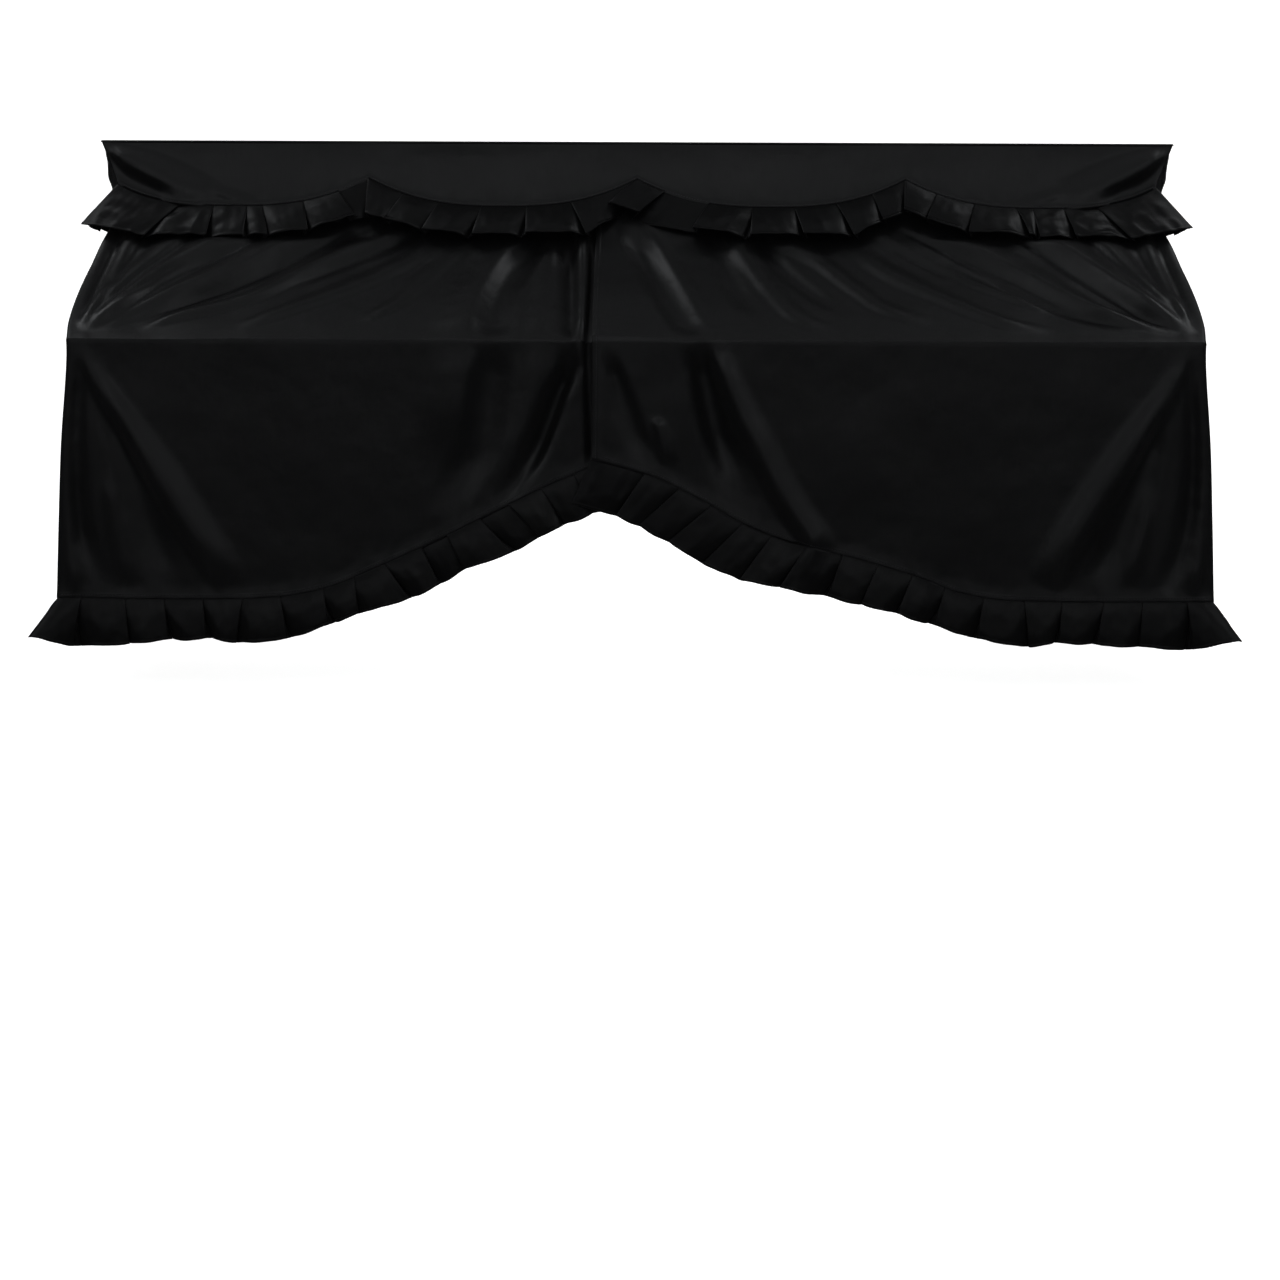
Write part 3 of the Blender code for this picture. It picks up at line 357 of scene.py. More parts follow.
LEFT_ARCH = np.array((  # x and rise of the hem
    (-0.80, 0.000), (-0.51, 0.000), (-0.42, 0.013), (-0.34, 0.046), (-0.25, 0.088),
    (-0.16, 0.134), (-0.08, 0.170), (0.00, 0.206)))
RIGHT_ARCH = np.array((
    (-0.12, 0.208), (-0.057, 0.190), (0.014, 0.170), (0.08, 0.140), (0.15, 0.101),
    (0.22, 0.075), (0.30, 0.056), (0.38, 0.032), (0.44, 0.010), (0.52, 0.000), (0.80, 0.000)))


def curve_through(places, values, place):
    """Smooth curve through a table's rows, read at each place (places rise)."""
    place = np.clip(place, places[0], places[-1])
    row = np.clip(np.searchsorted(places, place, side="right") - 1, 0, len(places) - 2)
    low, high = np.maximum(np.arange(len(places)) - 1, 0), np.minimum(
        np.arange(len(places)) + 1, len(places) - 1)
    slopes = (values[high] - values[low]) / (places[high] - places[low])
    step = places[row + 1] - places[row]
    t = (place - places[row]) / step
    start = (1 + 2 * t) * (1 - t) ** 2 * values[row] + t * (1 - t) ** 2 * step * slopes[row]
    return start + t * t * (3 - 2 * t) * values[row + 1] + t * t * (t - 1) * step * slopes[row + 1]


def bend(start, middle, end, share):
    """Points on a quadratic curve that bends past the middle point."""
    start, middle, end = (np.asarray(p, dtype=float) for p in (start, middle, end))
    return (1 - share) ** 2 * start + 2 * share * (1 - share) * middle + share * share * end


SLOPE_END = (KEYBED_FRONT + 0.967 * EDGE_RUN, KEYBED_TOP + 0.256 * EDGE_RUN)
EDGE_END = (KEYBED_FRONT - 0.0003, KEYBED_TOP - EDGE_RUN)
DROP_END = (-0.458, -0.650)
SLACK = ((-0.171, -0.146), (-0.308, -0.188))    # the slope sags towards these two points
SLOPE_STEPS, BEND_STEPS, DROP_STEPS = 120, 30, 60
share = np.linspace(0, 1, SLOPE_STEPS + 1)[:, None]
side_line = np.vstack([
    mix(bend((FRONT_Y, TOP_SEAM), *SLACK, share), bend(*SLACK, SLOPE_END, share), share),
    bend(SLOPE_END, (KEYBED_FRONT, KEYBED_TOP), EDGE_END,
         np.linspace(0, 1, BEND_STEPS + 1)[1:, None]),
    np.linspace(EDGE_END, DROP_END, DROP_STEPS + 1)[1:]])
side_runs = length_along(side_line)
side_ways = np.gradient(side_line, side_runs, axis=0)
SLOPE_RUN, EDGE_CREST = side_runs[SLOPE_STEPS], side_runs[SLOPE_STEPS + BEND_STEPS // 2]
CREST_ROW = 106         # row of cloth that lies on the keybed's edge, creased by it
LOWER_ROWS = 78         # rows from there to the hem


def profile_at(run):
    """y, z and the outward direction's y, z after this much cloth from the top seam."""
    y, z = (np.interp(run, side_runs, side_line[:, k]) for k in (0, 1))
    way_y, way_z = (np.interp(run, side_runs, side_ways[:, k]) for k in (0, 1))
    size = np.hypot(way_y, way_z)
    return y, z, way_z / size, -way_y / size


def run_at(z):
    return np.interp(-z, -side_line[:, 1], side_runs)


def half_width(z):
    return curve_through(-WIDTHS[:, 0], WIDTHS[:, 1], -z)


HEM_HALF = float(half_width(np.array(HEM)))


def arch_height(arch, x):
    return HEM + curve_through(arch[:, 0], arch[:, 1], x)


# A fold runs along a line of places (x, z) on the cloth. Going along it, it reaches so far
# to the right hand and to the left hand, and is so high: below 0 it is a trough. "fade" is
# the share of its length over which it grows and dies away, "start" its first width as a
# share, "crisp" how sharp its crest is.
Fold = namedtuple("Fold", "line right left height fade start crisp",
                  defaults=((0.25, 0.25), 0.6, 0.0))
CURTAIN_FOLDS = (
    # pulled up from the keybed's left corner to the lid
    Fold(((-0.749, -0.255), (-0.666, -0.218), (-0.575, -0.166), (-0.485, -0.094)), 0.060, 0.140, 0.0120,
          start=0.25),
    Fold(((-0.749, -0.255), (-0.732, -0.227), (-0.707, -0.149), (-0.691, -0.085)), 0.014, 0.024, 0.0085),
    Fold(((-0.748, -0.253), (-0.738, -0.194), (-0.725, -0.134), (-0.714, -0.089)), 0.014, 0.014, -0.0070),
    Fold(((-0.734, -0.243), (-0.695, -0.196), (-0.648, -0.151), (-0.600, -0.095)), 0.014, 0.034, 0.0100),
    Fold(((-0.748, -0.256), (-0.695, -0.233), (-0.648, -0.197), (-0.596, -0.165), (-0.551, -0.142),
          (-0.479, -0.087)), 0.020, 0.055, 0.0150, start=0.4),
    Fold(((-0.725, -0.251), (-0.669, -0.212), (-0.634, -0.188), (-0.590, -0.166), (-0.543, -0.136),
          (-0.473, -0.081)), 0.026, 0.018, -0.0080, start=0.4),
    Fold(((-0.734, -0.254), (-0.671, -0.239), (-0.601, -0.207), (-0.557, -0.190), (-0.501, -0.161),
          (-0.435, -0.124), (-0.360, -0.079)), 0.022, 0.045, 0.0140, start=0.4),
    Fold(((-0.710, -0.255), (-0.650, -0.230), (-0.525, -0.183), (-0.481, -0.156), (-0.409, -0.111)), 0.026,
          0.020, -0.0070, start=0.4),
    Fold(((-0.671, -0.253), (-0.616, -0.238), (-0.521, -0.214), (-0.459, -0.182), (-0.394, -0.152),
          (-0.272, -0.090)), 0.018, 0.028, 0.0090, start=0.5),
    Fold(((-0.480, -0.202), (-0.397, -0.163), (-0.330, -0.133), (-0.248, -0.087)), 0.026, 0.018, -0.0050),
    Fold(((-0.549, -0.257), (-0.483, -0.233), (-0.404, -0.205), (-0.335, -0.176), (-0.235, -0.114)), 0.022,
          0.030, 0.0055),
    Fold(((-0.377, -0.245), (-0.321, -0.217), (-0.287, -0.185), (-0.229, -0.117)), 0.022, 0.026, 0.0040),
    # the same on the right
    Fold(((0.753, -0.253), (0.672, -0.216), (0.580, -0.164), (0.487, -0.090)), 0.140, 0.060, 0.0120,
          start=0.25),
    Fold(((0.752, -0.253), (0.729, -0.219), (0.713, -0.164), (0.699, -0.086)), 0.024, 0.014, 0.0085),
    Fold(((0.755, -0.255), (0.747, -0.233), (0.737, -0.185), (0.726, -0.129), (0.720, -0.084)), 0.014, 0.014,
          -0.0070),
    Fold(((0.734, -0.238), (0.695, -0.205), (0.668, -0.173), (0.642, -0.140), (0.602, -0.085)), 0.034, 0.014,
          0.0100),
    Fold(((0.752, -0.259), (0.688, -0.231), (0.659, -0.212), (0.616, -0.183), (0.554, -0.135),
          (0.487, -0.083)), 0.055, 0.018, 0.0150, start=0.4),
    Fold(((0.722, -0.248), (0.686, -0.232), (0.651, -0.212), (0.616, -0.188), (0.579, -0.162),
          (0.544, -0.136), (0.481, -0.084)), 0.016, 0.028, -0.0090, start=0.4),
    Fold(((0.733, -0.255), (0.653, -0.240), (0.601, -0.222), (0.530, -0.184), (0.459, -0.146),
          (0.395, -0.117), (0.334, -0.083)), 0.045, 0.022, 0.0150, start=0.4),
    Fold(((0.661, -0.249), (0.573, -0.227), (0.497, -0.199), (0.426, -0.170), (0.367, -0.137),
          (0.313, -0.095)), 0.018, 0.026, -0.0060, start=0.5),
    Fold(((0.616, -0.243), (0.543, -0.221), (0.495, -0.204), (0.463, -0.190), (0.422, -0.169),
          (0.349, -0.129), (0.281, -0.081)), 0.026, 0.018, 0.0090, start=0.5),
    Fold(((0.567, -0.252), (0.487, -0.239), (0.396, -0.204), (0.344, -0.179), (0.279, -0.123)), 0.030, 0.022,
          0.0070),
    # bent folds that run out on the keybed, right of the parting
    Fold(((0.117, -0.079), (0.137, -0.136), (0.157, -0.170), (0.182, -0.202), (0.214, -0.235),
          (0.278, -0.261)), 0.018, 0.028, 0.0058, start=1.0),
    Fold(((0.088, -0.079), (0.110, -0.147), (0.132, -0.192), (0.169, -0.244)), 0.026, 0.022, -0.0045,
          start=1.0),
    Fold(((0.152, -0.079), (0.202, -0.136), (0.247, -0.163), (0.295, -0.199), (0.339, -0.226),
          (0.407, -0.246)), 0.018, 0.026, 0.0062, start=1.0),
    Fold(((0.151, -0.099), (0.185, -0.154), (0.224, -0.193), (0.288, -0.234)), 0.020, 0.020, -0.0050,
          start=1.0),
    # long folds that fall beside the parting to the arch
    Fold(((-0.076, -0.087), (-0.074, -0.181), (-0.074, -0.250), (-0.076, -0.302)), 0.016, 0.010, 0.0100,
          fade=(0.15, 0.2), start=1.0),
    Fold(((-0.097, -0.087), (-0.093, -0.181), (-0.088, -0.244), (-0.088, -0.296), (-0.107, -0.342),
          (-0.139, -0.422), (-0.182, -0.487)), 0.024, 0.018, -0.0130, fade=(0.15, 0.2), start=0.9),
    Fold(((-0.089, -0.296), (-0.104, -0.332), (-0.121, -0.382), (-0.152, -0.447)), 0.028, 0.022, -0.0080),
    Fold(((-0.116, -0.087), (-0.125, -0.181), (-0.131, -0.276), (-0.155, -0.382), (-0.208, -0.476)), 0.024,
          0.022, 0.0042, fade=(0.15, 0.3), start=0.9),
    Fold(((-0.129, -0.087), (-0.140, -0.142), (-0.166, -0.175), (-0.186, -0.214), (-0.190, -0.257),
          (-0.193, -0.323), (-0.206, -0.399), (-0.232, -0.447), (-0.267, -0.503)), 0.036, 0.032, -0.0095,
          fade=(0.12, 0.2), start=0.8),
    Fold(((-0.164, -0.101), (-0.214, -0.201), (-0.232, -0.303), (-0.262, -0.436)), 0.060, 0.030, 0.0070),
    Fold(((-0.027, -0.086), (-0.001, -0.134), (0.024, -0.183), (0.051, -0.224), (0.077, -0.259),
          (0.090, -0.286), (0.101, -0.341), (0.115, -0.401), (0.137, -0.459), (0.167, -0.515)), 0.032, 0.034,
          -0.0095, fade=(0.12, 0.2), start=0.8),
    Fold(((0.072, -0.262), (0.090, -0.308), (0.107, -0.375), (0.139, -0.448)), 0.032, 0.026, -0.0100,
          start=0.9),
    Fold(((-0.007, -0.086), (0.014, -0.127), (0.039, -0.157), (0.060, -0.187), (0.079, -0.219),
          (0.096, -0.252)), 0.014, 0.022, 0.0034, fade=(0.2, 0.35), start=1.0),
    Fold(((0.098, -0.240), (0.106, -0.268), (0.113, -0.299), (0.132, -0.345), (0.163, -0.405),
          (0.196, -0.468), (0.226, -0.512), (0.256, -0.555)), 0.022, 0.030, 0.0135, fade=(0.3, 0.10),
          start=0.7, crisp=0.3),
    Fold(((-0.038, -0.269), (-0.027, -0.309), (-0.015, -0.345), (0.000, -0.388), (0.022, -0.435)), 0.022,
          0.020, -0.0080),
    Fold(((0.025, -0.362), (0.034, -0.391), (0.044, -0.430)), 0.014, 0.020, 0.0070, crisp=0.6),
    # soft folds that drop from the keybed's corners to the hem
    Fold(((-0.740, -0.268), (-0.730, -0.297), (-0.702, -0.347), (-0.665, -0.406), (-0.631, -0.459),
          (-0.597, -0.515), (-0.562, -0.569), (-0.542, -0.599)), 0.026, 0.036, 0.0150, fade=(0.45, 0.28),
          start=0.45),
    Fold(((-0.720, -0.331), (-0.684, -0.411), (-0.657, -0.494), (-0.623, -0.602)), 0.034, 0.030, -0.0100,
          start=0.5),
    Fold(((-0.709, -0.438), (-0.697, -0.518), (-0.679, -0.599)), 0.018, 0.022, 0.0040),
    Fold(((-0.740, -0.272), (-0.749, -0.331), (-0.753, -0.385), (-0.751, -0.465), (-0.740, -0.539),
          (-0.709, -0.613)), 0.012, 0.026, -0.0090),
    Fold(((-0.769, -0.438), (-0.768, -0.532), (-0.749, -0.613)), 0.014, 0.018, 0.0080),
    Fold(((0.734, -0.266), (0.726, -0.295), (0.703, -0.342), (0.673, -0.390), (0.637, -0.446),
          (0.600, -0.505), (0.565, -0.568), (0.552, -0.595)), 0.036, 0.026, 0.0150, fade=(0.45, 0.28),
          start=0.45),
    Fold(((0.710, -0.339), (0.687, -0.409), (0.667, -0.473), (0.639, -0.540), (0.616, -0.597)), 0.030, 0.034,
          -0.0100, start=0.5),
    Fold(((0.688, -0.446), (0.676, -0.520), (0.662, -0.594)), 0.022, 0.018, 0.0040),
    Fold(((0.737, -0.273), (0.746, -0.339), (0.749, -0.432), (0.742, -0.506), (0.726, -0.567),
          (0.711, -0.608)), 0.026, 0.012, -0.0090),
    Fold(((0.764, -0.432), (0.764, -0.526), (0.746, -0.607)), 0.018, 0.014, 0.0080),
)
# where the left curtain sinks back beside the right one's edge
PARTING_FOLDS = (
    Fold(((-0.063, -0.100), (-0.063, -0.201), (-0.066, -0.251), (-0.061, -0.362), (-0.058, -0.440)), 0.012,
          0.014, -0.007, fade=(0.12, 0.12), start=1.0),
)


def fold_relief(folds, x, run, place_of=None):
    """Height of all folds together at points (x, run) of the flat cloth."""
    total = np.zeros_like(x)
    for item in folds:
        knots = np.array(item.line)
        if place_of is not None:
            knots[:, 1] = place_of(knots[:, 1])
        steps = np.linspace(0.0, len(knots) - 1, 6 * (len(knots) - 1) + 1)
        order = np.arange(len(knots), dtype=float)
        line = np.stack([curve_through(order, knots[:, k], steps) for k in (0, 1)], axis=-1)
        reach = max(item.right, item.left)
        near = ((x > line[:, 0].min() - reach) & (x < line[:, 0].max() + reach)
                & (run > line[:, 1].min() - reach) & (run < line[:, 1].max() + reach))
        if not near.any():
            continue
        px, pr = x[near], run[near]
        gap = np.full(px.shape, 9.0)
        place, side = np.zeros_like(px), np.zeros_like(px)
        for i in range(len(line) - 1):
            (ax, ar), (dx, dr) = line[i], line[i + 1] - line[i]
            share = np.clip(((px - ax) * dx + (pr - ar) * dr) / (dx * dx + dr * dr), 0.0, 1.0)
            away = np.hypot(px - ax - dx * share, pr - ar - dr * share)
            closer = away < gap
            gap = np.where(closer, away, gap)
            place = np.where(closer, (i + share) / (len(line) - 1), place)
            side = np.where(closer, dx * (pr - ar) - dr * (px - ax), side)
        half = np.where(side > 0, item.right, item.left) * mix(item.start, 1.0, ease(place * 1.6))
        t = np.clip(gap / half, 0.0, 1.0)
        section = mix((1 - t * t) ** 2, (1 - t) ** 2 * (1 + 0.6 * t), item.crisp)
        fade = ease(place / item.fade[0]) * ease((1.0 - place) / item.fade[1])
        total[near] += item.height * fade * section
    return total


EDGE_KEEP = 0.30        # share of its height that a fold keeps on the keybed's edge
ROOM_UNDER = 0.0045     # room for a ridge under the valance ruffle
ROOM = 0.06             # and below it


def turn_back(share, radius):
    """How far cloth has turned back, this share of the way round its end."""
    return radius * (1.0 - np.sqrt(1.0 - clamp(share) ** 2))


def curtain_points(hem_x, run, lift, folds=()):
    """Front cloth at columns (x at the hem) and runs of cloth; lift raises it."""
    y, z, out_y, out_z = profile_at(run)
    half = half_width(z)
    x = hem_x * (half / HEM_HALF)
    back = turn_back((np.abs(hem_x) - HEM_HALF + CURTAIN_TURN) / CURTAIN_TURN, CURTAIN_TURN)
    free = ramp(run, 0.09, 0.18) * ramp(half - np.abs(x), 0.003, 0.029)
    height = fold_relief(CURTAIN_FOLDS, x, run, run_at)
    height *= mix(EDGE_KEEP, 1.0, ramp(np.abs(run - SLOPE_RUN), 0.004, 0.05))
    height += fold_relief(folds, x, run, run_at)
    room = mix(ROOM_UNDER, ROOM, ramp(run, 0.145, 0.20))
    height = np.where(height > 0.0, room * np.tanh(height / room), height)
    flat = spots(x, run, 0.0)
    height += crumples(flat, (0.0022, 0.170, 5.3), (0.0010, 0.070, 2.7), (0.00035, 0.026, 9.4))
    edge = ramp(half - np.abs(x), 0.045, 0.004) * ramp(run, 0.05, 0.10)
    height += 0.0016 * edge * crumple(flat, 0.018, 4.4)
    rise = lift + free * height - back
    return spots(x, y + out_y * rise, z + out_z * rise)


def lap_lift(x, run):
    """The right curtain lies over the left one, and over its hem ruffle lower down."""
    over = LAYER + 0.002 * ramp(run, 0.03, 0.14) + 0.0075 * ramp(run, 0.05, 0.62)
    return over * (1.0 - ramp(x, -0.02, 0.11))


ABOVE_HEM = np.array((0.0240, 0.0205, 0.0175, 0.0150, 0.0125, 0.0105, 0.0092, 0.0082, 0.0074,
                      0.0066, 0.0058, 0.0048, 0.0036, 0.0024, 0.0012, 0.0))
HEM_STITCH = 10         # row of ABOVE_HEM on which the hem is stitched


def stitch_groove(above, stitched, depth):
    """The thread pulls the cloth in along the stitched line."""
    return -depth * np.exp(-((above - stitched) / 0.0009) ** 2)


def hem_shape(above, along, seed):
    """Height of the stitched hem over the cloth, for distances above its lower edge."""
    pucker = 0.0011 * crumple(spots(along, above * 0.5, seed), 0.014, seed)
    lift = HEM_LIFT * ramp(above, HEM_REACH, 0.002) ** 1.5
    welt = 0.0004 * ramp(above, HEM_WELT + 0.0008, HEM_WELT - 0.0008)
    return (lift + welt + stitch_groove(above, ABOVE_HEM[HEM_STITCH], 0.0003)
            + pucker * ramp(above, 0.040, 0.004) - 0.0006 * ramp(above, 0.0022, 0.0))


turn_x = HEM_HALF - CURTAIN_TURN + CURTAIN_TURN * np.sin(np.radians((0, 20, 40, 60, 76, 90)))


def curtain_grid(columns, arch, lifted, seed):
    """Place at the hem, run of cloth and lift of each point of a curtain."""
    x = columns[:, None]
    hem_run = run_at(arch_height(arch, x))
    upper = np.repeat(np.linspace(0.0, EDGE_CREST, CREST_ROW + 1)[None, :], len(columns), axis=0)
    share = np.linspace(0.0, 1.0, LOWER_ROWS)[None, 1:-1]
    lower = mix(EDGE_CREST, hem_run - ABOVE_HEM[0], share)
    run = np.concatenate([upper, lower, hem_run - ABOVE_HEM[None, :]], axis=1)
    hem_x = np.repeat(x, run.shape[1], axis=1)
    lift = lap_lift(hem_x, run) if lifted else np.zeros_like(run)
    return hem_x, run, lift + hem_shape(hem_run - run, hem_x, seed)


def crease(cloth, columns, row):
    """Breaks the shine along one row of a sheet's points."""
    place = {row + column * (len(cloth.data.vertices) // columns) for column in range(columns)}
    for edge in cloth.data.edges:
        if edge.vertices[0] in place and edge.vertices[1] in place:
            edge.use_edge_sharp = True


left_columns = np.concatenate([-turn_x[:0:-1], np.linspace(-turn_x[0], LEFT_INNER, 190)])
left_points = curtain_points(*curtain_grid(left_columns, LEFT_ARCH, False, 1.7), PARTING_FOLDS)
hem_row = HEM_STITCH - len(ABOVE_HEM)
curtain_left = put_on(
    "curtain_left", left_points, (0, -1, 0), flat=(0.77, 0.76), held="hung",
    rests_on=[top_cloth], area=0.545, stitched=[(slice(4, None), hem_row)])
crease(curtain_left, len(left_columns), CREST_ROW)

EDGE_HEM = np.array((0.0, 0.0012, 0.0026, 0.0044, 0.0060, 0.0068, 0.0076, 0.0086, 0.0100))
EDGE_STITCH = 4         # row of EDGE_HEM on which the free edge is stitched
right_columns = np.concatenate([RIGHT_INNER + EDGE_HEM,
                                np.linspace(RIGHT_INNER + 0.0130, turn_x[0], 195), turn_x[1:]])
hem_x, run, lift = curtain_grid(right_columns, RIGHT_ARCH, True, 6.1)
from_edge = hem_x - RIGHT_INNER
lift += 0.0007 * ramp(from_edge, 0.0082, 0.0066) - 0.0008 * ramp(from_edge, 0.0020, 0.0)
lift += 0.0022 * np.exp(-((from_edge - 0.010) / 0.012) ** 2) * ramp(run, 0.16, 0.30)
right_points = curtain_points(hem_x, run, lift)
curtain_right = put_on(
    "curtain_right", right_points, (0, -1, 0), flat=(0.86, 0.76), held="hung",
    rests_on=[top_cloth, curtain_left], area=0.595,
    stitched=[(slice(4, -4), hem_row), (EDGE_STITCH, slice(10, None))])
crease(curtain_right, len(right_columns), CREST_ROW)


# --- side panels -------------------------------------------------------------------------
# Two panels of satin cover the piano's cheeks, sewn to the top panel, to the curtains'
# outer edges and to the back panel. They hang in soft upright folds to a stitched hem.
BACK_HALF = 0.765       # half-width of the cover at the back of its hem
CORNER_REACH = 0.12     # length of side cloth that the drawn-in corner affects
DRAWN_TO = -0.165
TUCKED_IN = 0.0046      # the side's edge lies this far behind the curtain's turned edge
SIDE_BACK = BACK_Y - 0.0036
Hang = namedtuple("Hang", "top low half height")
SIDE_HANGS = (
    Hang(-0.150, -0.330, 0.055, 0.010), Hang(-0.110, -0.215, 0.045, -0.008),
    Hang(-0.060, -0.110, 0.050, 0.011), Hang(0.010, -0.020, 0.045, -0.007),
    Hang(0.070, 0.080, 0.045, 0.009),
)


def hang_relief(hangs, place, drop):
    """Height of the soft upright folds; each drifts from its top place to its low one."""
    total = np.zeros(np.broadcast(place, drop).shape)
    for soft in hangs:
        t = clamp(np.abs(place - mix(soft.top, soft.low, drop)) / soft.half)
        total += soft.height * (1.0 + 0.35 * (1.0 - t)) * (1.0 - t * t) ** 2
    return total


def plumb_half(z):
    """Half-width of the cover where it hangs plumb, at the back."""
    return mix(SIDE_X, BACK_HALF, ramp(-z, 0.0, 1.2) * 2.0)


def side_width(y, z, front_y):
    """How far out the side panel stands at a place, without its finer crumples."""
    start = mix(DRAWN_TO, front_y, ramp(-z, 0.10, 0.16))
    x = mix(half_width(z) - 0.0006, plumb_half(z), ramp(y - start, 0.0, CORNER_REACH))
    hang = clamp(z / HEM)
    free = ease(hang) * ramp(y - front_y, 0.0, 0.08) * ramp(SIDE_BACK - y, 0.0, 0.05)
    return x + free * hang_relief(SIDE_HANGS, y, hang), free


side_run = np.concatenate([
    np.linspace(0.0, EDGE_CREST, CREST_ROW + 1),
    np.linspace(EDGE_CREST, run_at(HEM) - ABOVE_HEM[0], 50)[1:-1], run_at(HEM) - ABOVE_HEM])
edge_y, edge_z, out_y, out_z = profile_at(side_run)
edge_y, edge_z = edge_y - out_y * TUCKED_IN, edge_z - out_z * TUCKED_IN
across = np.concatenate([np.linspace(0.0, 0.1, 12)[:-1], np.linspace(0.1, 1.0, 62)])[:, None]
y = mix(edge_y[None, :], SIDE_BACK, across)
z = np.repeat(edge_z[None, :], len(across), axis=0)
wide, free = side_width(y, z, edge_y[None, :])
wide -= 0.0008 * ramp(across, 0.05, 0.0)
side_cloths, side_hems = {}, {}
for side, end in ((-1, "left"), (1, "right")):
    spot = spots(y, z, 2.0 * side)
    rough = free * crumples(spot, (0.0026, 0.150, 1.3), (0.0011, 0.060, 7.9), (0.0004, 0.022, 3.6))
    rough += 0.0012 * ramp(across, 0.12, 0.0) * ramp(across, 0.0, 0.02) * crumple(spot, 0.016, 4.9)
    hem = hem_shape(z - edge_z[-1], y, 3.3 + side) * ramp(y - edge_y[None, :], 0.0, 0.01)
    points = spots(side * (wide + ramp(-z, 0.10, 0.18) * rough + hem), y, z)
    side_cloths[side] = put_on(
        "side_" + end, points, (side, 0, 0), flat=(0.64, 0.63), held="hung",
        rests_on=[top_cloth], area=0.33, stitched=[(slice(3, -2), hem_row)])
    side_hems[side] = (y[:, -1], points, grid_normals(points, (side, 0, 0)))


# --- back panel --------------------------------------------------------------------------
# The plain drop behind the piano: one width of satin with a broad machine-stitched hem,
# left shorter than the sides because it stands against the wall.
BACK_DROP = -0.500
BACK_TURN = 0.004
BACK_HEM = 0.016        # height of the turned-up hem
BACK_HANGS = (
    Hang(-0.560, -0.590, 0.070, 0.008), Hang(-0.300, -0.320, 0.080, 0.010),
    Hang(-0.030, -0.010, 0.090, 0.007), Hang(0.250, 0.280, 0.080, 0.011),
    Hang(0.540, 0.570, 0.070, 0.008),
)
BACK_ABOVE = np.array((0.021, 0.0182, 0.0168, 0.0158, 0.0148, 0.0136, 0.0105, 0.007, 0.0035, 0.0))
BACK_STITCH = 5         # row of BACK_ABOVE on which the hem is stitched
turn_share = BACK_TURN / SIDE_X
back_ends = 1.0 - turn_share * (1.0 - np.sin(np.radians((22, 45, 67, 90))))
u = np.concatenate([-back_ends[::-1], np.linspace(-1, 1, 136) * (1.0 - turn_share), back_ends])
z = np.concatenate([np.linspace(TOP_SEAM, BACK_DROP + BACK_ABOVE[0], 62)[:-1], BACK_DROP + BACK_ABOVE])
u, z = np.meshgrid(u, z, indexing="ij")
x = u * (plumb_half(z) + 0.0006)
share = (z - TOP_SEAM) / (BACK_DROP - TOP_SEAM)
spot = spots(x, z, 0.0)
rise = hang_relief(BACK_HANGS, x, share)
rise += crumples(spot, (0.0030, 0.160, 6.6), (0.0012, 0.060, 1.9), (0.0004, 0.022, 5.1))
rise *= ease(share) * ramp(1.0 - np.abs(u), 0.0, 0.08)
above = z - BACK_DROP
hem = 0.0008 * ramp(above, BACK_HEM + 0.0008, BACK_HEM - 0.0010)
hem += stitch_groove(above, BACK_ABOVE[BACK_STITCH], 0.0005)
hem += 0.0010 * crumple(spot, 0.016, 2.2) * ramp(above, 0.030, 0.012)
forward = turn_back((np.abs(u) - 1.0 + turn_share) / turn_share, BACK_TURN)
put_on("back_panel", spots(x, BACK_Y + rise + hem - forward, z), (0, 1, 0), flat=(1.53, 0.52),
       held="hung", rests_on=[top_cloth], stitched=[(slice(4, -4), BACK_STITCH - len(BACK_ABOVE))])


# --- valances ----------------------------------------------------------------------------
# A short skirt of satin sewn round the lid over the other pieces. In front its lower edge
# hangs in four shallow swags, drawn tight from the lid's corners; each side is one swag.
VALANCE_CORNER, VALANCE_PEAK, VALANCE_LOW = -0.061, -0.052, -0.091
CORNER_DRAW = 0.0255    # how far the corner is drawn in at its lower end
VALANCE_TURN = 0.003
ABOVE_SEAM = np.array((0.0150, 0.0125, 0.0102, 0.0084, 0.0070, 0.0060, 0.0050, 0.0041, 0.0032,
                       0.0022, 0.0011, 0.0))
SEAM_STITCH = 7         # row of ABOVE_SEAM on which the ruffle is sewn on
VALANCE_FOLDS = (
    Fold(((-0.752, 0.002), (-0.712, -0.026), (-0.658, -0.054), (-0.580, -0.090)), 0.044, 0.034, 0.0130,
          fade=(0.12, 0.25), start=0.45),
    Fold(((-0.752, -0.012), (-0.728, -0.038), (-0.690, -0.060), (-0.640, -0.080)), 0.018, 0.016, -0.0060,
          start=0.5),
    Fold(((-0.600, -0.064), (-0.560, -0.080), (-0.530, -0.090)), 0.012, 0.014, 0.0022),
    Fold(((0.752, 0.002), (0.712, -0.026), (0.658, -0.054), (0.580, -0.090)), 0.034, 0.044, 0.0130,
          fade=(0.12, 0.25), start=0.45),
    Fold(((0.752, -0.012), (0.728, -0.038), (0.690, -0.060), (0.640, -0.080)), 0.016, 0.018, -0.0060,
          start=0.5),
    Fold(((0.600, -0.064), (0.560, -0.080), (0.530, -0.090)), 0.014, 0.012, 0.0022),
)


def swag(peak_before, peak_after, share):
    """Height of the lower edge across one swag."""
    peak = np.where(share < 0.5, peak_before, peak_after)
    return VALANCE_LOW + (peak - VALANCE_LOW) * np.abs(2 * share - 1) ** 2.6


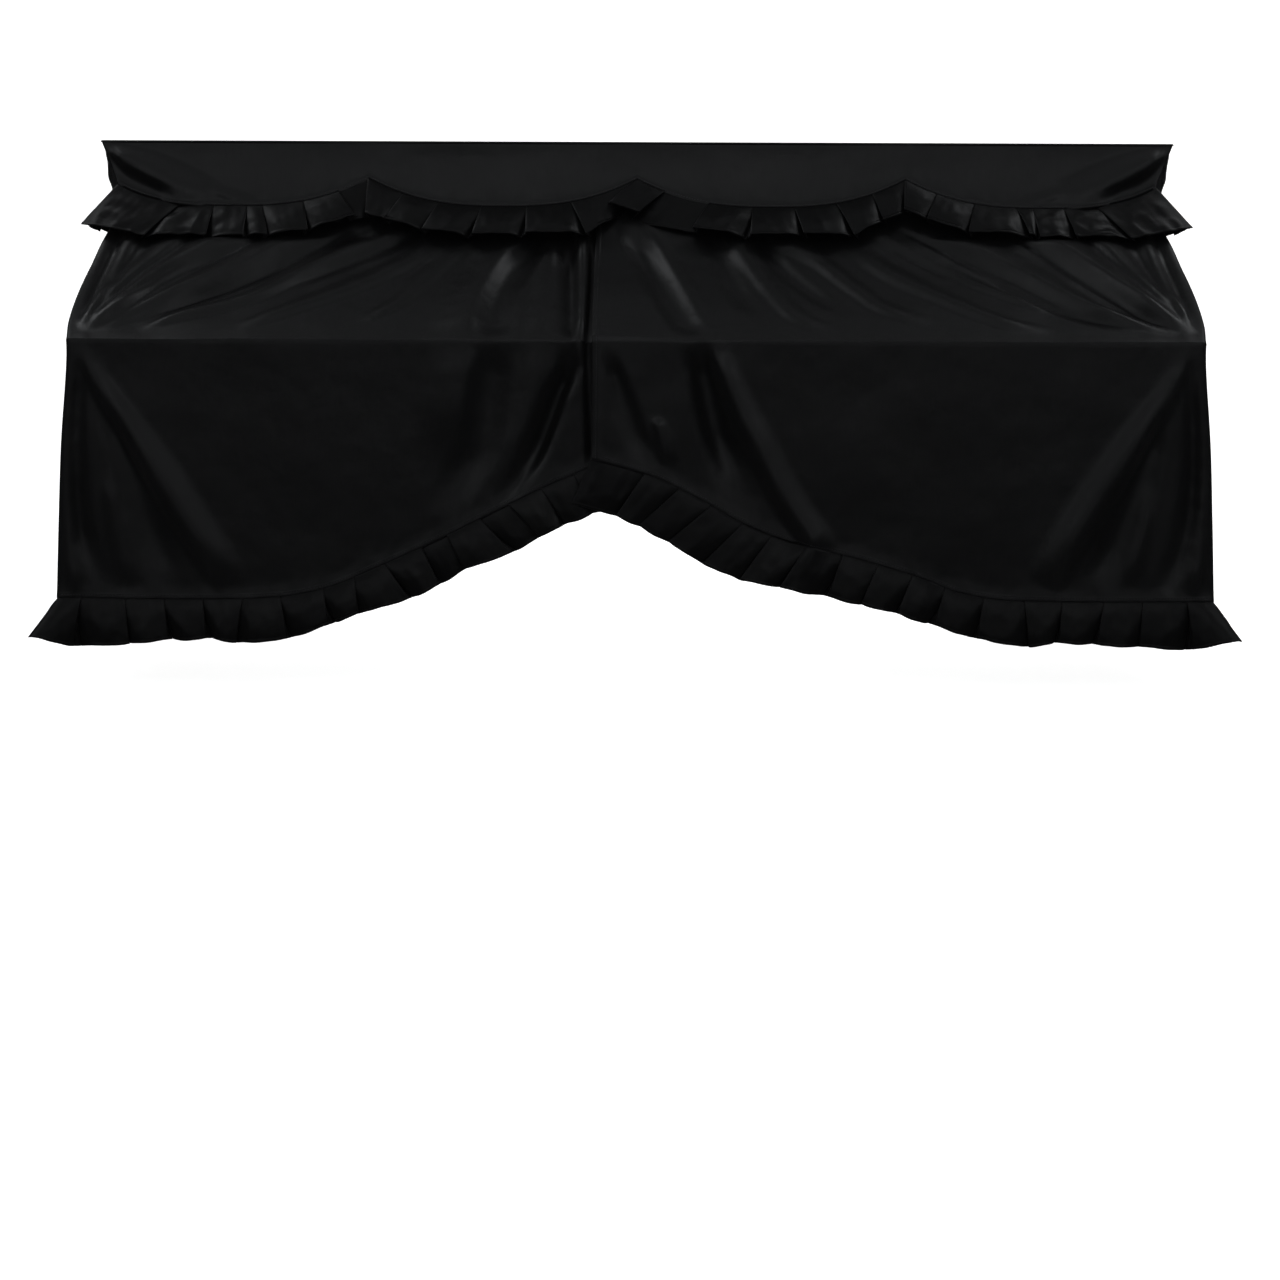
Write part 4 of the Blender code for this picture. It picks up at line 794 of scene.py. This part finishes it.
def front_swags(u):
    peaks = np.array((VALANCE_CORNER, VALANCE_PEAK, VALANCE_PEAK, VALANCE_PEAK, VALANCE_CORNER))
    across = np.maximum((u + 1.0) / 0.5, 0.0)
    i = np.minimum(across.astype(int), len(peaks) - 2)
    return swag(peaks[i], peaks[i + 1], across - i)


def valance_y(z):
    share = (z - TOP_SEAM) / (-0.100 - TOP_SEAM)
    return bend(VALANCE_Y, -0.183, -0.205, share)


def corner_draw(z):
    return CORNER_DRAW * np.clip((TOP_SEAM - z) / (TOP_SEAM - VALANCE_CORNER), 0.0, 1.0)


def valance_base(u, z):
    """Front valance as drawn tight, without its folds."""
    x = u * VALANCE_X - np.sign(u) * corner_draw(z) * np.abs(u) ** 8
    return np.stack([x, valance_y(z), z], axis=-1)


def seam_shape(above, along, seed):
    """The valance's lower edge: doubled, stitched and puckered by the ruffle."""
    pucker = 0.0013 * crumple(spots(along, above * 0.4, seed), 0.012, seed)
    return (0.0010 * ramp(above, 0.012, 0.001) + 0.0009 * ramp(above, 0.0068, 0.0054)
            + stitch_groove(above, ABOVE_SEAM[SEAM_STITCH], 0.0007)
            + pucker * ramp(above, 0.030, 0.003) - 0.0007 * ramp(above, 0.0016, 0.0))


def swag_rows(low, upper_rows):
    """z of each row of a valance column, close together above the seam."""
    share = np.linspace(0.0, 1.0, upper_rows)[None, :-1]
    upper = mix(TOP_SEAM, low + ABOVE_SEAM[0], share)
    return np.concatenate([upper, low + ABOVE_SEAM[None, :]], axis=1)


plain_end = 1.0 - VALANCE_TURN / VALANCE_X
end_u = plain_end + (1.0 - plain_end) * np.sin(np.radians((25, 50, 70, 90)))
u = np.concatenate([-end_u[::-1], np.linspace(-plain_end, plain_end, 341), end_u])[:, None]
z = swag_rows(front_swags(u), 24)
u = np.repeat(u, z.shape[1], axis=1)
base = valance_base(u, z)
free = ramp(-z, 0.0, 0.022) * ramp(1.0 - np.abs(u), 0.0, 0.03)
relief = fold_relief(VALANCE_FOLDS, base[..., 0], -z, np.negative)
relief += crumples(spots(base[..., 0], z, 0.0), (0.0011, 0.110, 7.7), (0.0003, 0.035, 2.9))
rise = free * relief + seam_shape(z - z[:, -1:], base[..., 0], 4.2)
base[..., 1] -= rise - turn_back((np.abs(u) - plain_end) / (1.0 - plain_end), VALANCE_TURN)
sewn = SEAM_STITCH - len(ABOVE_SEAM)
valance_front = put_on(
    "valance_front", base, (0, -1, 0), flat=(1.51, 0.10), held="hung", rests_on=[top_cloth],
    area=0.128, stitched=[(slice(4, -4), sewn)])

SIDE_VALANCE_BACK = BACK_Y + 0.0006
SIDE_VALANCE_FRONT = -0.185


def side_valance_base(side, along, z):
    """Side valance; along runs from 0 at the front corner to 1 at the back."""
    y = mix(valance_y(z) + 0.0012, SIDE_VALANCE_BACK, along)
    drawn = corner_draw(z) * (1.0 - ramp(y, SIDE_VALANCE_FRONT, SIDE_VALANCE_FRONT + CORNER_REACH))
    clear = 0.003 * ramp(TOP_SEAM - z, 0.0, 0.03) * ramp(along, 0.0, 0.3)
    return np.stack([side * (SIDE_X + LAYER + clear - drawn), y, z], axis=-1)


SIDE_VALANCE_FOLDS = (
    Fold(((-0.172, 0.002), (-0.120, 0.030), (-0.060, 0.066)), 0.014, 0.018, 0.005, start=0.4),
    Fold(((0.168, 0.002), (0.110, 0.034), (0.060, 0.070)), 0.018, 0.014, 0.004, start=0.4),
)
valance_sides = {}
for side, end in ((-1, "left"), (1, "right")):
    along = np.linspace(0.006, 1.0, 86)[:, None]
    z = swag_rows(swag(VALANCE_CORNER, VALANCE_CORNER, along), 24)
    along = np.repeat(along, z.shape[1], axis=1)
    base = side_valance_base(side, along, z)
    relief = crumples(spots(base[..., 1], z, side * 3.0), (0.0022, 0.080, 1.4), (0.0006, 0.030, 6.3))
    relief += fold_relief(SIDE_VALANCE_FOLDS, base[..., 1], -z)
    rise = ramp(-z, 0.0, 0.022) * ramp(along, 0.0, 0.05) * relief
    rise += seam_shape(z - z[:, -1:], base[..., 1], 8.8 + side)
    base[..., 0] += side * rise * ramp(along, 0.0, 0.02)
    valance_sides[side] = put_on(
        "valance_" + end, base, (side, 0, 0), flat=(0.36, 0.10), held="hung",
        rests_on=[top_cloth], area=0.031, stitched=[(slice(2, -1), sewn)])


# --- ruffles on the valances -------------------------------------------------------------
# A strip of satin with a narrow rolled hem, laid by hand in knife pleats and sewn under
# the valance's lower edge. The pleats are not pressed, so some shut and some gape open.
Station = namedtuple("Station", "along low depth facing open drop", defaults=(0, 0.0, 0.0))
PLEAT_TUCK = 0.009      # underlay of each fold at the seam
FOLD_RADIUS = 0.0010
SEAM_OVERLAP = 0.0030   # the strip starts this far above the edge, behind the cloth
ROLLED_HEM = 0.0034     # height of the rolled hem on the free edge
DIVE = 4.5              # how steeply each panel dives under the fold beside it
PANEL_STEP = 0.0026
DOWN = np.concatenate([np.linspace(0.0, 0.86, 15), (0.885, 0.905)])


def rounded(start, first, second, end, steps):
    """Points on a cubic curve between two ends."""
    t = np.linspace(0.0, 1.0, steps)[:, None]
    start, first, second, end = (np.array(p, dtype=float) for p in (start, first, second, end))
    return ((1 - t) ** 3 * start + 3 * t * (1 - t) ** 2 * first
            + 3 * t * t * (1 - t) * second + t ** 3 * end)


def pleat_section(tuck, crest, radius):
    """Across one fold (along, out), from under it round to its crest, right piece on top."""
    inner = 1.3 * radius if tuck > 0.0 else 0.2 * radius
    turn_in = rounded((tuck, 0.0), (tuck + inner, 0.0), (tuck + inner, 2 * radius),
                      (tuck, 2 * radius), 5)
    turn_out = rounded((0.0, crest - 2 * radius), (-1.3 * radius, crest - 2 * radius),
                       (-1.3 * radius, crest), (0.0, crest), 6)
    between = [mix(turn_in[-1], turn_out[0], share) for share in (0.33, 0.67)]
    return np.vstack([turn_in, between, turn_out])


ENDS_FLAT = 0.020       # a strip's ends lie flat over this length, so its corners stay shut
PLEATS_STIR = 0.35      # share of the crumples that a fold shows; the panels show them all
HEM_ROWS = (-0.22, 0.05, 0.35, 0.65, 0.88, 1.0)     # shares of the rolled hem's height
UP = np.array((0.0, 0.0, 1.0))


def station_frame(before, station, after, seam, outward):
    """At a fold: the way of the free edge, the way out of the strip, and that way level."""
    top = seam(station.along)
    out = unit(np.cross(unit(seam(after.along) - seam(before.along)), station.low - top))
    if np.dot(out, outward) < 0.0:
        out = -out
    return unit(after.low - before.low), out, unit(out * (1, 1, 0))


def fold_sections(station, top_depth):
    """Across one fold at the seam and at the free edge."""
    if station.facing == 0:
        return np.zeros((1, 2)), np.zeros((1, 2))
    radius = FOLD_RADIUS if station.open > 0.0 else 2.0 * FOLD_RADIUS
    sections = (pleat_section(PLEAT_TUCK, top_depth, FOLD_RADIUS),
                pleat_section(station.open, station.depth, radius))
    if station.facing < 0:
        return [section[::-1] * (-1, 1) for section in sections]
    return sections


def panel_end(station, low_way, crest):
    """Where a panel meets a fold: its height as a share, its seam end and its free end."""
    if crest:
        return 1.0, station.along, station.low
    if station.facing == 0:
        return 0.0, station.along, station.low
    return (0.0, station.along + station.facing * PLEAT_TUCK,
            station.low + station.facing * station.open * low_way - station.drop * UP)


def ruffle_points(stations, seam, outward, top_depth, puff, bow, seed, limp=9.0):
    """Grid of a pleated strip: stations are its folds, seam(along) its upper edge.

    Its folds stand top_depth high at the seam, its panels puff out between them and bow
    down their length, and it is crumpled more where x is beyond limp.
    """
    padded = [stations[0], *stations, stations[-1]]
    frames = [station_frame(*padded[k:k + 3], seam, outward) for k in range(len(stations))]
    uppers, lowers, outs, gains = [], [], [], []
    for k, station in enumerate(stations):
        low_way, out, level = frames[k]
        top_places, low_places = fold_sections(station, top_depth)
        under = clamp(1.0 - low_places[:, 1] / max(station.depth, 1e-6))
        for (t, h), (low_t, low_h), hidden in zip(top_places, low_places, under):
            uppers.append(seam(station.along + t) + level * h)
            lowers.append(station.low + low_way * low_t + out * low_h - station.drop * hidden * UP)
            outs.append(out)
            gains.append(PLEATS_STIR)
        if station is stations[-1]:
            continue
        after = stations[k + 1]
        next_way, next_out, next_level = frames[k + 1]
        leave, start_top, start_low = panel_end(station, low_way, station.facing > 0)
        arrive, end_top, end_low = panel_end(after, next_way, after.facing < 0)
        width = max(abs(end_top - start_top), np.linalg.norm(end_low - start_low))
        steps = max(4, int(round(width / PANEL_STEP)))
        for share in np.arange(1, steps) / steps:
            dive = 1.0 - (1.0 - share) ** DIVE if arrive > leave else share ** DIVE
            belly = 4.0 * share * (1.0 - share)
            here_out = mix(out, next_out, share)
            height = mix(leave * station.depth, arrive * after.depth, dive)
            uppers.append(seam(mix(start_top, end_top, share))
                          + mix(level, next_level, share) * mix(leave, arrive, dive) * top_depth)
            lowers.append(mix(start_low, end_low, share) + here_out * (height + puff * belly)
                          - 0.0012 * belly * UP)
            outs.append(here_out)
            gains.append(mix(PLEATS_STIR, 1.0, min(1.0, 2.5 * belly)))
    uppers, lowers, outs, gains = (np.array(rows) for rows in (uppers, lowers, outs, gains))
    hem = 1.0 - ROLLED_HEM / np.linalg.norm(lowers - uppers, axis=1)
    rows = [v * hem / 0.92 for v in DOWN] + [mix(hem, 1.0, t) for t in HEM_ROWS]
    down = np.stack(rows, axis=1)
    points = mix(uppers[:, None], lowers[:, None], down[..., None])
    arch = bow * (4.0 * down * (1.0 - down)) ** 0.9
    beyond = (down - hem[:, None]) / (1.0 - hem[:, None])
    roll = 0.0006 * ramp(beyond, -0.10, 0.12) - 0.0009 * ramp(beyond, 0.7, 1.0)
    loose = ramp(np.abs(points[..., 0]), limp, limp + 0.04)
    slack = 1.0 + 0.3 * loose
    spread = length_along(uppers)
    gathers = crumple(spots(spread, 0.0, 0.0), 0.011, seed + 3.0)
    crush = 0.0014 * crumple(points, 0.040, seed)
    crush += 0.0012 * gathers[:, None] * (1.0 - 0.7 * down)
    crush -= (0.0020 + 0.0040 * loose) * np.abs(crumple(points, 0.036, seed + 9.0))
    crush += 0.0009 * slack * crumple(points, 0.014, seed + 4.0)
    crush += 0.0002 * crumple(points, 0.0065, seed + 7.0)
    push = arch + roll + crush * slack * down ** 0.7 * gains[:, None]
    push = push * ramp(np.minimum(spread, spread[-1] - spread), 0.0, ENDS_FLAT)[:, None]
    points = points + outs[:, None] * push[..., None]
    points[..., 2] += 0.0020 * crumple(points, 0.022, seed + 2.0) * down ** 2 * gains[:, None]
    return points


def put_on_ruffle(node, points, outward, flat, sewn_to):
    """A gathered strip, cut across the cloth, in place of its solid, in the darker satin that paints shade
    on it.
    """
    put_on(node, points, outward, face=satin_strip_painted_shade, flat=flat, held="gathered", rests_on=[sewn_to])


VALANCE_DEPTH = 0.010
WING = np.array((0.778, -0.212, -0.115))    # tip of the valance ruffle at the corner
STAND_OFF = 0.008       # the ruffle's free edge stands this far before the curtains
# place on the seam, place of the fold's free end (x, z), which piece is on top (-1 left,
# 1 right), how far its underlay stays in there, its height and, if any, its underlay's drop
VALANCE_PLEATS = (
    (-0.645, -0.686, -0.134, -1, 0.004, 0.009), (-0.597, -0.600, -0.134, -1, 0.003, 0.011),
    (-0.548, -0.549, -0.135, -1, -0.005, 0.011), (-0.527, -0.514, -0.134, -1, 0.004, 0.010),
    (-0.469, -0.458, -0.128, -1, 0.004, 0.013), (-0.419, -0.394, -0.108, -1, 0.006, 0.014),
    (-0.3765, -0.378, -0.105, 1, 0.004, 0.016), (-0.326, -0.352, -0.112, 1, 0.006, 0.013),
    (-0.276, -0.299, -0.127, 1, 0.004, 0.013), (-0.216, -0.228, -0.134, 1, -0.006, 0.014),
    (-0.154, -0.153, -0.132, 1, -0.007, 0.014), (-0.092, -0.069, -0.132, 1, 0.004, 0.013),
    (0.000, -0.040, -0.089, 1, 0.026, 0.018, 0.022),
    (0.038, 0.001, -0.102, -1, 0.010, 0.017, 0.012), (0.102, 0.078, -0.123, 1, 0.004, 0.013),
    (0.163, 0.159, -0.134, 1, -0.007, 0.014), (0.221, 0.233, -0.132, 1, 0.003, 0.014),
    (0.280, 0.304, -0.133, 1, 0.004, 0.013), (0.331, 0.345, -0.111, 1, 0.004, 0.012),
    (0.3765, 0.374, -0.097, 1, 0.006, 0.016), (0.421, 0.404, -0.110, 1, 0.004, 0.014),
    (0.474, 0.462, -0.128, 1, 0.004, 0.013), (0.534, 0.547, -0.131, 1, 0.004, 0.012),
    (0.556, 0.562, -0.134, 1, -0.005, 0.011), (0.602, 0.612, -0.132, 1, 0.003, 0.011),
    (0.649, 0.689, -0.134, 1, 0.004, 0.009),
)


def front_seam(along):
    u = np.clip(along / VALANCE_X, -1.0, 1.0)
    point = valance_base(u, front_swags(np.array(u)))
    return point + (0.0, 0.0008, SEAM_OVERLAP)


stations = [Station(-VALANCE_X, WING * (-1, 1, 1), VALANCE_DEPTH)]
for top, low_x, low_z, facing, tucked, depth, *drop in VALANCE_PLEATS:
    low = np.array((low_x, float(profile_at(run_at(low_z))[0]) - STAND_OFF, low_z))
    stations.append(Station(top, low, depth, facing, tucked, *drop))
stations.append(Station(VALANCE_X, WING, VALANCE_DEPTH))
points = ruffle_points(stations, front_seam, (0, -1, 0), top_depth=0.0042, puff=0.0040,
                       bow=0.0025, seed=3.0, limp=0.54)
put_on_ruffle("valance_ruffle_front", points, (0, -1, 0), (2.28, 0.055), valance_front)

SidePleat = namedtuple("SidePleat", "share out drop open")
SIDE_VALANCE_PLEATS = (
    SidePleat(0.167, 0.034, 0.040, -0.002), SidePleat(0.333, 0.024, 0.036, 0.004),
    SidePleat(0.500, 0.028, 0.038, -0.002), SidePleat(0.667, 0.027, 0.042, 0.004),
    SidePleat(0.833, 0.022, 0.045, -0.002),
)
SIDE_VALANCE_LENGTH = SIDE_VALANCE_BACK - SIDE_VALANCE_FRONT


def side_stations(pleats, tip, seam, start, length, swing, depth, back_low):
    """Folds of a side ruffle, from its front tip to its plain back end."""
    stations = [Station(start, tip, depth)]
    side = math.copysign(1.0, tip[0])
    for pleat in pleats:
        along = start + pleat.share * length
        forward = swing * (1.0 - pleat.share)
        low = seam(along) + (side * pleat.out, -forward, -pleat.drop - SEAM_OVERLAP)
        stations.append(Station(along, low, depth, 1, pleat.open))
    low = seam(start + length) + np.array(back_low) * (side, 1, 1) - SEAM_OVERLAP * UP
    return [*stations, Station(start + length, low, depth)]


def corner_tip(wing, side):
    """Front lower corner of a side ruffle, just behind the front ruffle's tip."""
    return np.array((side * (wing[0] - 0.0006), wing[1] + 0.0009, wing[2]))


for side, end in ((-1, "left"), (1, "right")):
    def side_seam(along, side=side):
        share = np.clip(along / SIDE_VALANCE_LENGTH, 0.0, 1.0)
        low = swag(VALANCE_CORNER, VALANCE_CORNER, np.array(share))
        return side_valance_base(side, share, low) + (-0.0008 * side, 0.0, SEAM_OVERLAP)

    stations = side_stations(SIDE_VALANCE_PLEATS, corner_tip(WING, side), side_seam, 0.0,
                             SIDE_VALANCE_LENGTH, 0.020, VALANCE_DEPTH, (0.024, 0.004, -0.043))
    points = ruffle_points(stations, side_seam, (side, 0, 0), top_depth=0.0042, puff=0.0045,
                           bow=0.0045, seed=11.0 + side)
    put_on_ruffle("valance_ruffle_" + end, points, (side, 0, 0), (0.48, 0.055), valance_sides[side])


# --- ruffles on the hems -----------------------------------------------------------------
# The same pleated strip, a little deeper, sewn under the hem of each curtain and of each
# side panel. At the front corners the two strips stand out together like a wing.
HEM_DEPTH = 0.011
HEM_WING = np.array((0.814, -0.478, -0.661))
HEM_LEAN = 0.004        # how far the free edge stands out from its seam
HEM_STRIP = {"top_depth": 0.0030, "puff": 0.0045, "bow": 0.0040}
LAPPED_DEPTH = 0.007    # height of the left strip's folds where the right one lies over them
LEFT_FREE_END = (-0.030, -0.487)        # x, z of the strips' lower ends at the parting
RIGHT_FREE_END = (-0.086, -0.479)
LEFT_END_LEAN = 0.002   # how far the left strip's end stands out there
# place on the seam, place of the fold's free end (x, z), which piece is on top and how far
# its underlay stays in there
LEFT_HEM_PLEATS = (
    (-0.745, -0.756, -0.674, -1, -0.010), (-0.687, -0.680, -0.671, -1, 0.004),
    (-0.635, -0.628, -0.665, -1, -0.006), (-0.583, -0.577, -0.663, -1, -0.008),
    (-0.529, -0.537, -0.669, -1, 0.002), (-0.479, -0.468, -0.663, -1, -0.006),
    (-0.421, -0.413, -0.645, -1, -0.010), (-0.379, -0.372, -0.629, -1, 0.002),
    (-0.339, -0.305, -0.609, -1, -0.006), (-0.290, -0.264, -0.590, -1, -0.004),
    (-0.254, -0.228, -0.568, 1, 0.002), (-0.212, -0.166, -0.546, -1, -0.006),
    (-0.172, -0.126, -0.524, 1, -0.006), (-0.128, -0.092, -0.507, 1, -0.004),
    (-0.084, -0.058, -0.493, 1, 0.004),
)
RIGHT_HEM_PLEATS = (
    (0.014, -0.026, -0.495, 1, 0.006), (0.062, 0.004, -0.508, 1, 0.006),
    (0.105, 0.044, -0.530, 1, 0.006), (0.147, 0.090, -0.560, 1, 0.006),
    (0.186, 0.141, -0.582, 1, 0.004), (0.230, 0.195, -0.591, 1, -0.002),
    (0.280, 0.259, -0.604, 1, -0.006), (0.328, 0.304, -0.614, 1, 0.004),
    (0.374, 0.353, -0.627, 1, -0.004), (0.418, 0.402, -0.642, 1, -0.008),
    (0.470, 0.460, -0.660, 1, -0.006), (0.524, 0.530, -0.671, 1, 0.002),
    (0.575, 0.570, -0.665, 1, -0.006), (0.631, 0.621, -0.667, 1, -0.006),
    (0.683, 0.678, -0.670, 1, 0.004), (0.742, 0.750, -0.673, 1, -0.010),
)


SEAM_ROW = -4           # row of a hem's cloth behind which its ruffle starts
SEAM_BEHIND = 0.0034    # how far behind it, so that the pleats' upper ends are covered


def hem_seam(places, points, normals):
    """Upper edge of a hem ruffle, which follows the cloth that it is sewn to."""
    edge = points[:, SEAM_ROW] - normals[:, SEAM_ROW] * SEAM_BEHIND

    def seam(place):
        return np.array([np.interp(place, places, edge[:, k]) for k in range(3)])
    return seam


def hem_station(along, low_xz, depth, *fold, lean=HEM_LEAN):
    """A fold, or a plain end, whose free end leans out from the seam."""
    return Station(along, np.array((low_xz[0], seam(along)[1] - lean, low_xz[1])), depth, *fold)


seam = hem_seam(left_columns, left_points, grid_normals(left_points, (0, -1, 0)))
stations = [Station(-HEM_HALF, HEM_WING * (-1, 1, 1), HEM_DEPTH)]
for top, low_x, low_z, facing, tucked in LEFT_HEM_PLEATS:
    depth = mix(HEM_DEPTH, LAPPED_DEPTH, float(ramp(top, -0.20, -0.12)))
    stations.append(hem_station(top, (low_x, low_z), depth, facing, tucked))
stations.append(hem_station(LEFT_INNER, LEFT_FREE_END, LAPPED_DEPTH, lean=LEFT_END_LEAN))
points = ruffle_points(stations, seam, (0, -1, 0), seed=17.0, **HEM_STRIP)
wing_ends = {-1: points[0]}
put_on_ruffle("hem_ruffle_left", points, (0, -1, 0), (1.02, 0.065), curtain_left)

seam = hem_seam(right_columns, right_points, grid_normals(right_points, (0, -1, 0)))
stations = [hem_station(RIGHT_INNER, RIGHT_FREE_END, HEM_DEPTH)]
for top, low_x, low_z, facing, tucked in RIGHT_HEM_PLEATS:
    stations.append(hem_station(top, (low_x, low_z), HEM_DEPTH, facing, tucked))
stations.append(Station(HEM_HALF, HEM_WING, HEM_DEPTH))
points = ruffle_points(stations, seam, (0, -1, 0), seed=23.0, **HEM_STRIP)
wing_ends[1] = points[-1]
put_on_ruffle("hem_ruffle_right", points, (0, -1, 0), (1.26, 0.065), curtain_right)

SIDE_HEM_PLEATS = (
    SidePleat(0.091, 0.018, 0.053, -0.002), SidePleat(0.182, 0.008, 0.058, -0.007),
    SidePleat(0.273, 0.008, 0.058, 0.003), SidePleat(0.364, 0.011, 0.053, -0.002),
    SidePleat(0.455, 0.005, 0.056, -0.007), SidePleat(0.545, 0.008, 0.059, 0.003),
    SidePleat(0.636, 0.011, 0.054, -0.002), SidePleat(0.727, 0.005, 0.055, -0.007),
    SidePleat(0.818, 0.008, 0.059, 0.003), SidePleat(0.909, 0.010, 0.056, -0.002),
)
hem_y = float(side_hems[1][0][0])
for side, end in ((-1, "left"), (1, "right")):
    seam = hem_seam(*side_hems[side])
    stations = side_stations(SIDE_HEM_PLEATS, corner_tip(HEM_WING, side), seam, hem_y,
                             SIDE_BACK - hem_y, 0.008, HEM_DEPTH, (0.008, 0.004, -0.056))
    points = ruffle_points(stations, seam, (side, 0, 0), seed=31.0 + 2 * side, **HEM_STRIP)
    # The two strips share one edge at the corner, the side's just inside the front's.
    points[0] = wing_ends[side] + (-0.0004 * side, 0.0002, 0.0)
    put_on_ruffle("hem_ruffle_side_" + end, points, (side, 0, 0), (0.82, 0.065), side_cloths[side])


# --- studio ------------------------------------------------------------------------------
# A room of pale paper whose floor curves up behind the cover, broad soft lights in front,
# above and behind, four on each side, and the camera in front, just under the lid's height.
FLOOR = -0.733
paper, tree, shader = new_material("studio_paper")
grain = add_node(tree, "ShaderNodeTexNoise", {"Scale": 220.0, "Detail": 3.0})
feed(tree, shader, {"Base Color": two_tones(tree, grain.outputs["Fac"], "#f2f2f1", "#f8f8f7"),
                    "Roughness": 0.9, "Specular IOR Level": 0.1,
                    "Emission Color": (1.0, 1.0, 1.0, 1.0), "Emission Strength": 0.92})


def paper_wall(name, corners, smooth):
    """Paper through pairs of corners; it isn't mirrored in the cloth."""
    faces = [(i, i + 1, i + 3, i + 2) for i in range(0, len(corners) - 2, 2)]
    wall = add_object(name, corners, faces, [paper], smooth)
    wall.visible_glossy = False
    return wall


cove = [(-9.0, 0.0)] + [(4.0 + 2.0 * math.sin(a), 2.0 - 2.0 * math.cos(a))
                        for a in np.radians(np.arange(0, 91, 6))] + [(6.0, 9.0)]
paper_wall("studio_cove", [(x, y, FLOOR + z) for y, z in cove for x in (-12.0, 12.0)], True)
# The same paper closes the room on the other three sides, where it throws no light.
plan = ((-12.0, 6.0), (-12.0, -9.0), (12.0, -9.0), (12.0, 6.0))
walls = paper_wall("studio_walls", [(x, y, z) for x, y in plan for z in (FLOOR, 9.0)], False)
walls.visible_diffuse = walls.visible_shadow = False


def softbox(name, place, target, size, power):
    """Rectangular soft light at a place, turned to a target."""
    light = bpy.data.lights.new(name, "AREA")
    light.shape = "RECTANGLE"
    light.size, light.size_y = size
    light.energy = power
    light.color = (0.95, 0.975, 1.0)
    lamp = bpy.data.objects.new(name, light)
    lamp.location = place
    lamp.rotation_euler = (Vector(target) - Vector(place)).to_track_quat("-Z", "Y").to_euler()
    bpy.context.collection.objects.link(lamp)
    return lamp


for name, place, size, power in (
        ("front", (0.0, -4.6, 2.6), (3.6, 1.4), 15.0), ("low", (0.0, -5.6, 0.2), (3.6, 0.8), 5.6),
        ("over", (0.0, -1.7, 2.8), (3.6, 3.4), 13.0), ("behind", (0.0, 1.3, 2.6), (3.6, 1.6), 2.2)):
    softbox("softbox_" + name, place, (0.0, -0.25, -0.3), size, power)
for side in (-1, 1):
    for name, (x, y, z), target, size, power in (
            ("key", (2.6, -4.0, 1.2), (-0.3, -0.3, -0.4), (0.8, 1.6), 6.5),
            ("side", (2.9, -1.2, 1.5), (0.3, -0.3, -0.3), (0.8, 1.8), 9.0),
            ("rear", (2.3, 0.5, 2.0), (0.3, -0.3, -0.3), (0.8, 1.8), 12.0),
            ("top", (1.7, 0.2, 2.4), (0.3, -0.3, -0.3), (1.2, 1.4), 3.0)):
        softbox("softbox_%s_%d" % (name, side), (side * x, y, z),
                (side * target[0], *target[1:]), size, power)
world = bpy.data.worlds.new("studio_air")
world.use_nodes = True
feed(world.node_tree, world.node_tree.nodes["Background"], {
    "Color": (0.9, 0.95, 1.0, 1.0), "Strength": 0.004})
bpy.context.scene.world = world
bpy.context.scene.view_settings.view_transform = "Standard"

camera = bpy.data.objects.new("camera", bpy.data.cameras.new("camera"))
camera.data.lens = 89.3
camera.data.sensor_width = 36.0
camera.matrix_world = (
    Matrix.Translation((0.0065, -4.69, -0.05))
    @ Matrix.Rotation(math.radians(81.74), 4, "X") @ Matrix.Rotation(math.radians(0.215), 4, "Z"))
bpy.context.collection.objects.link(camera)
bpy.context.scene.camera = camera
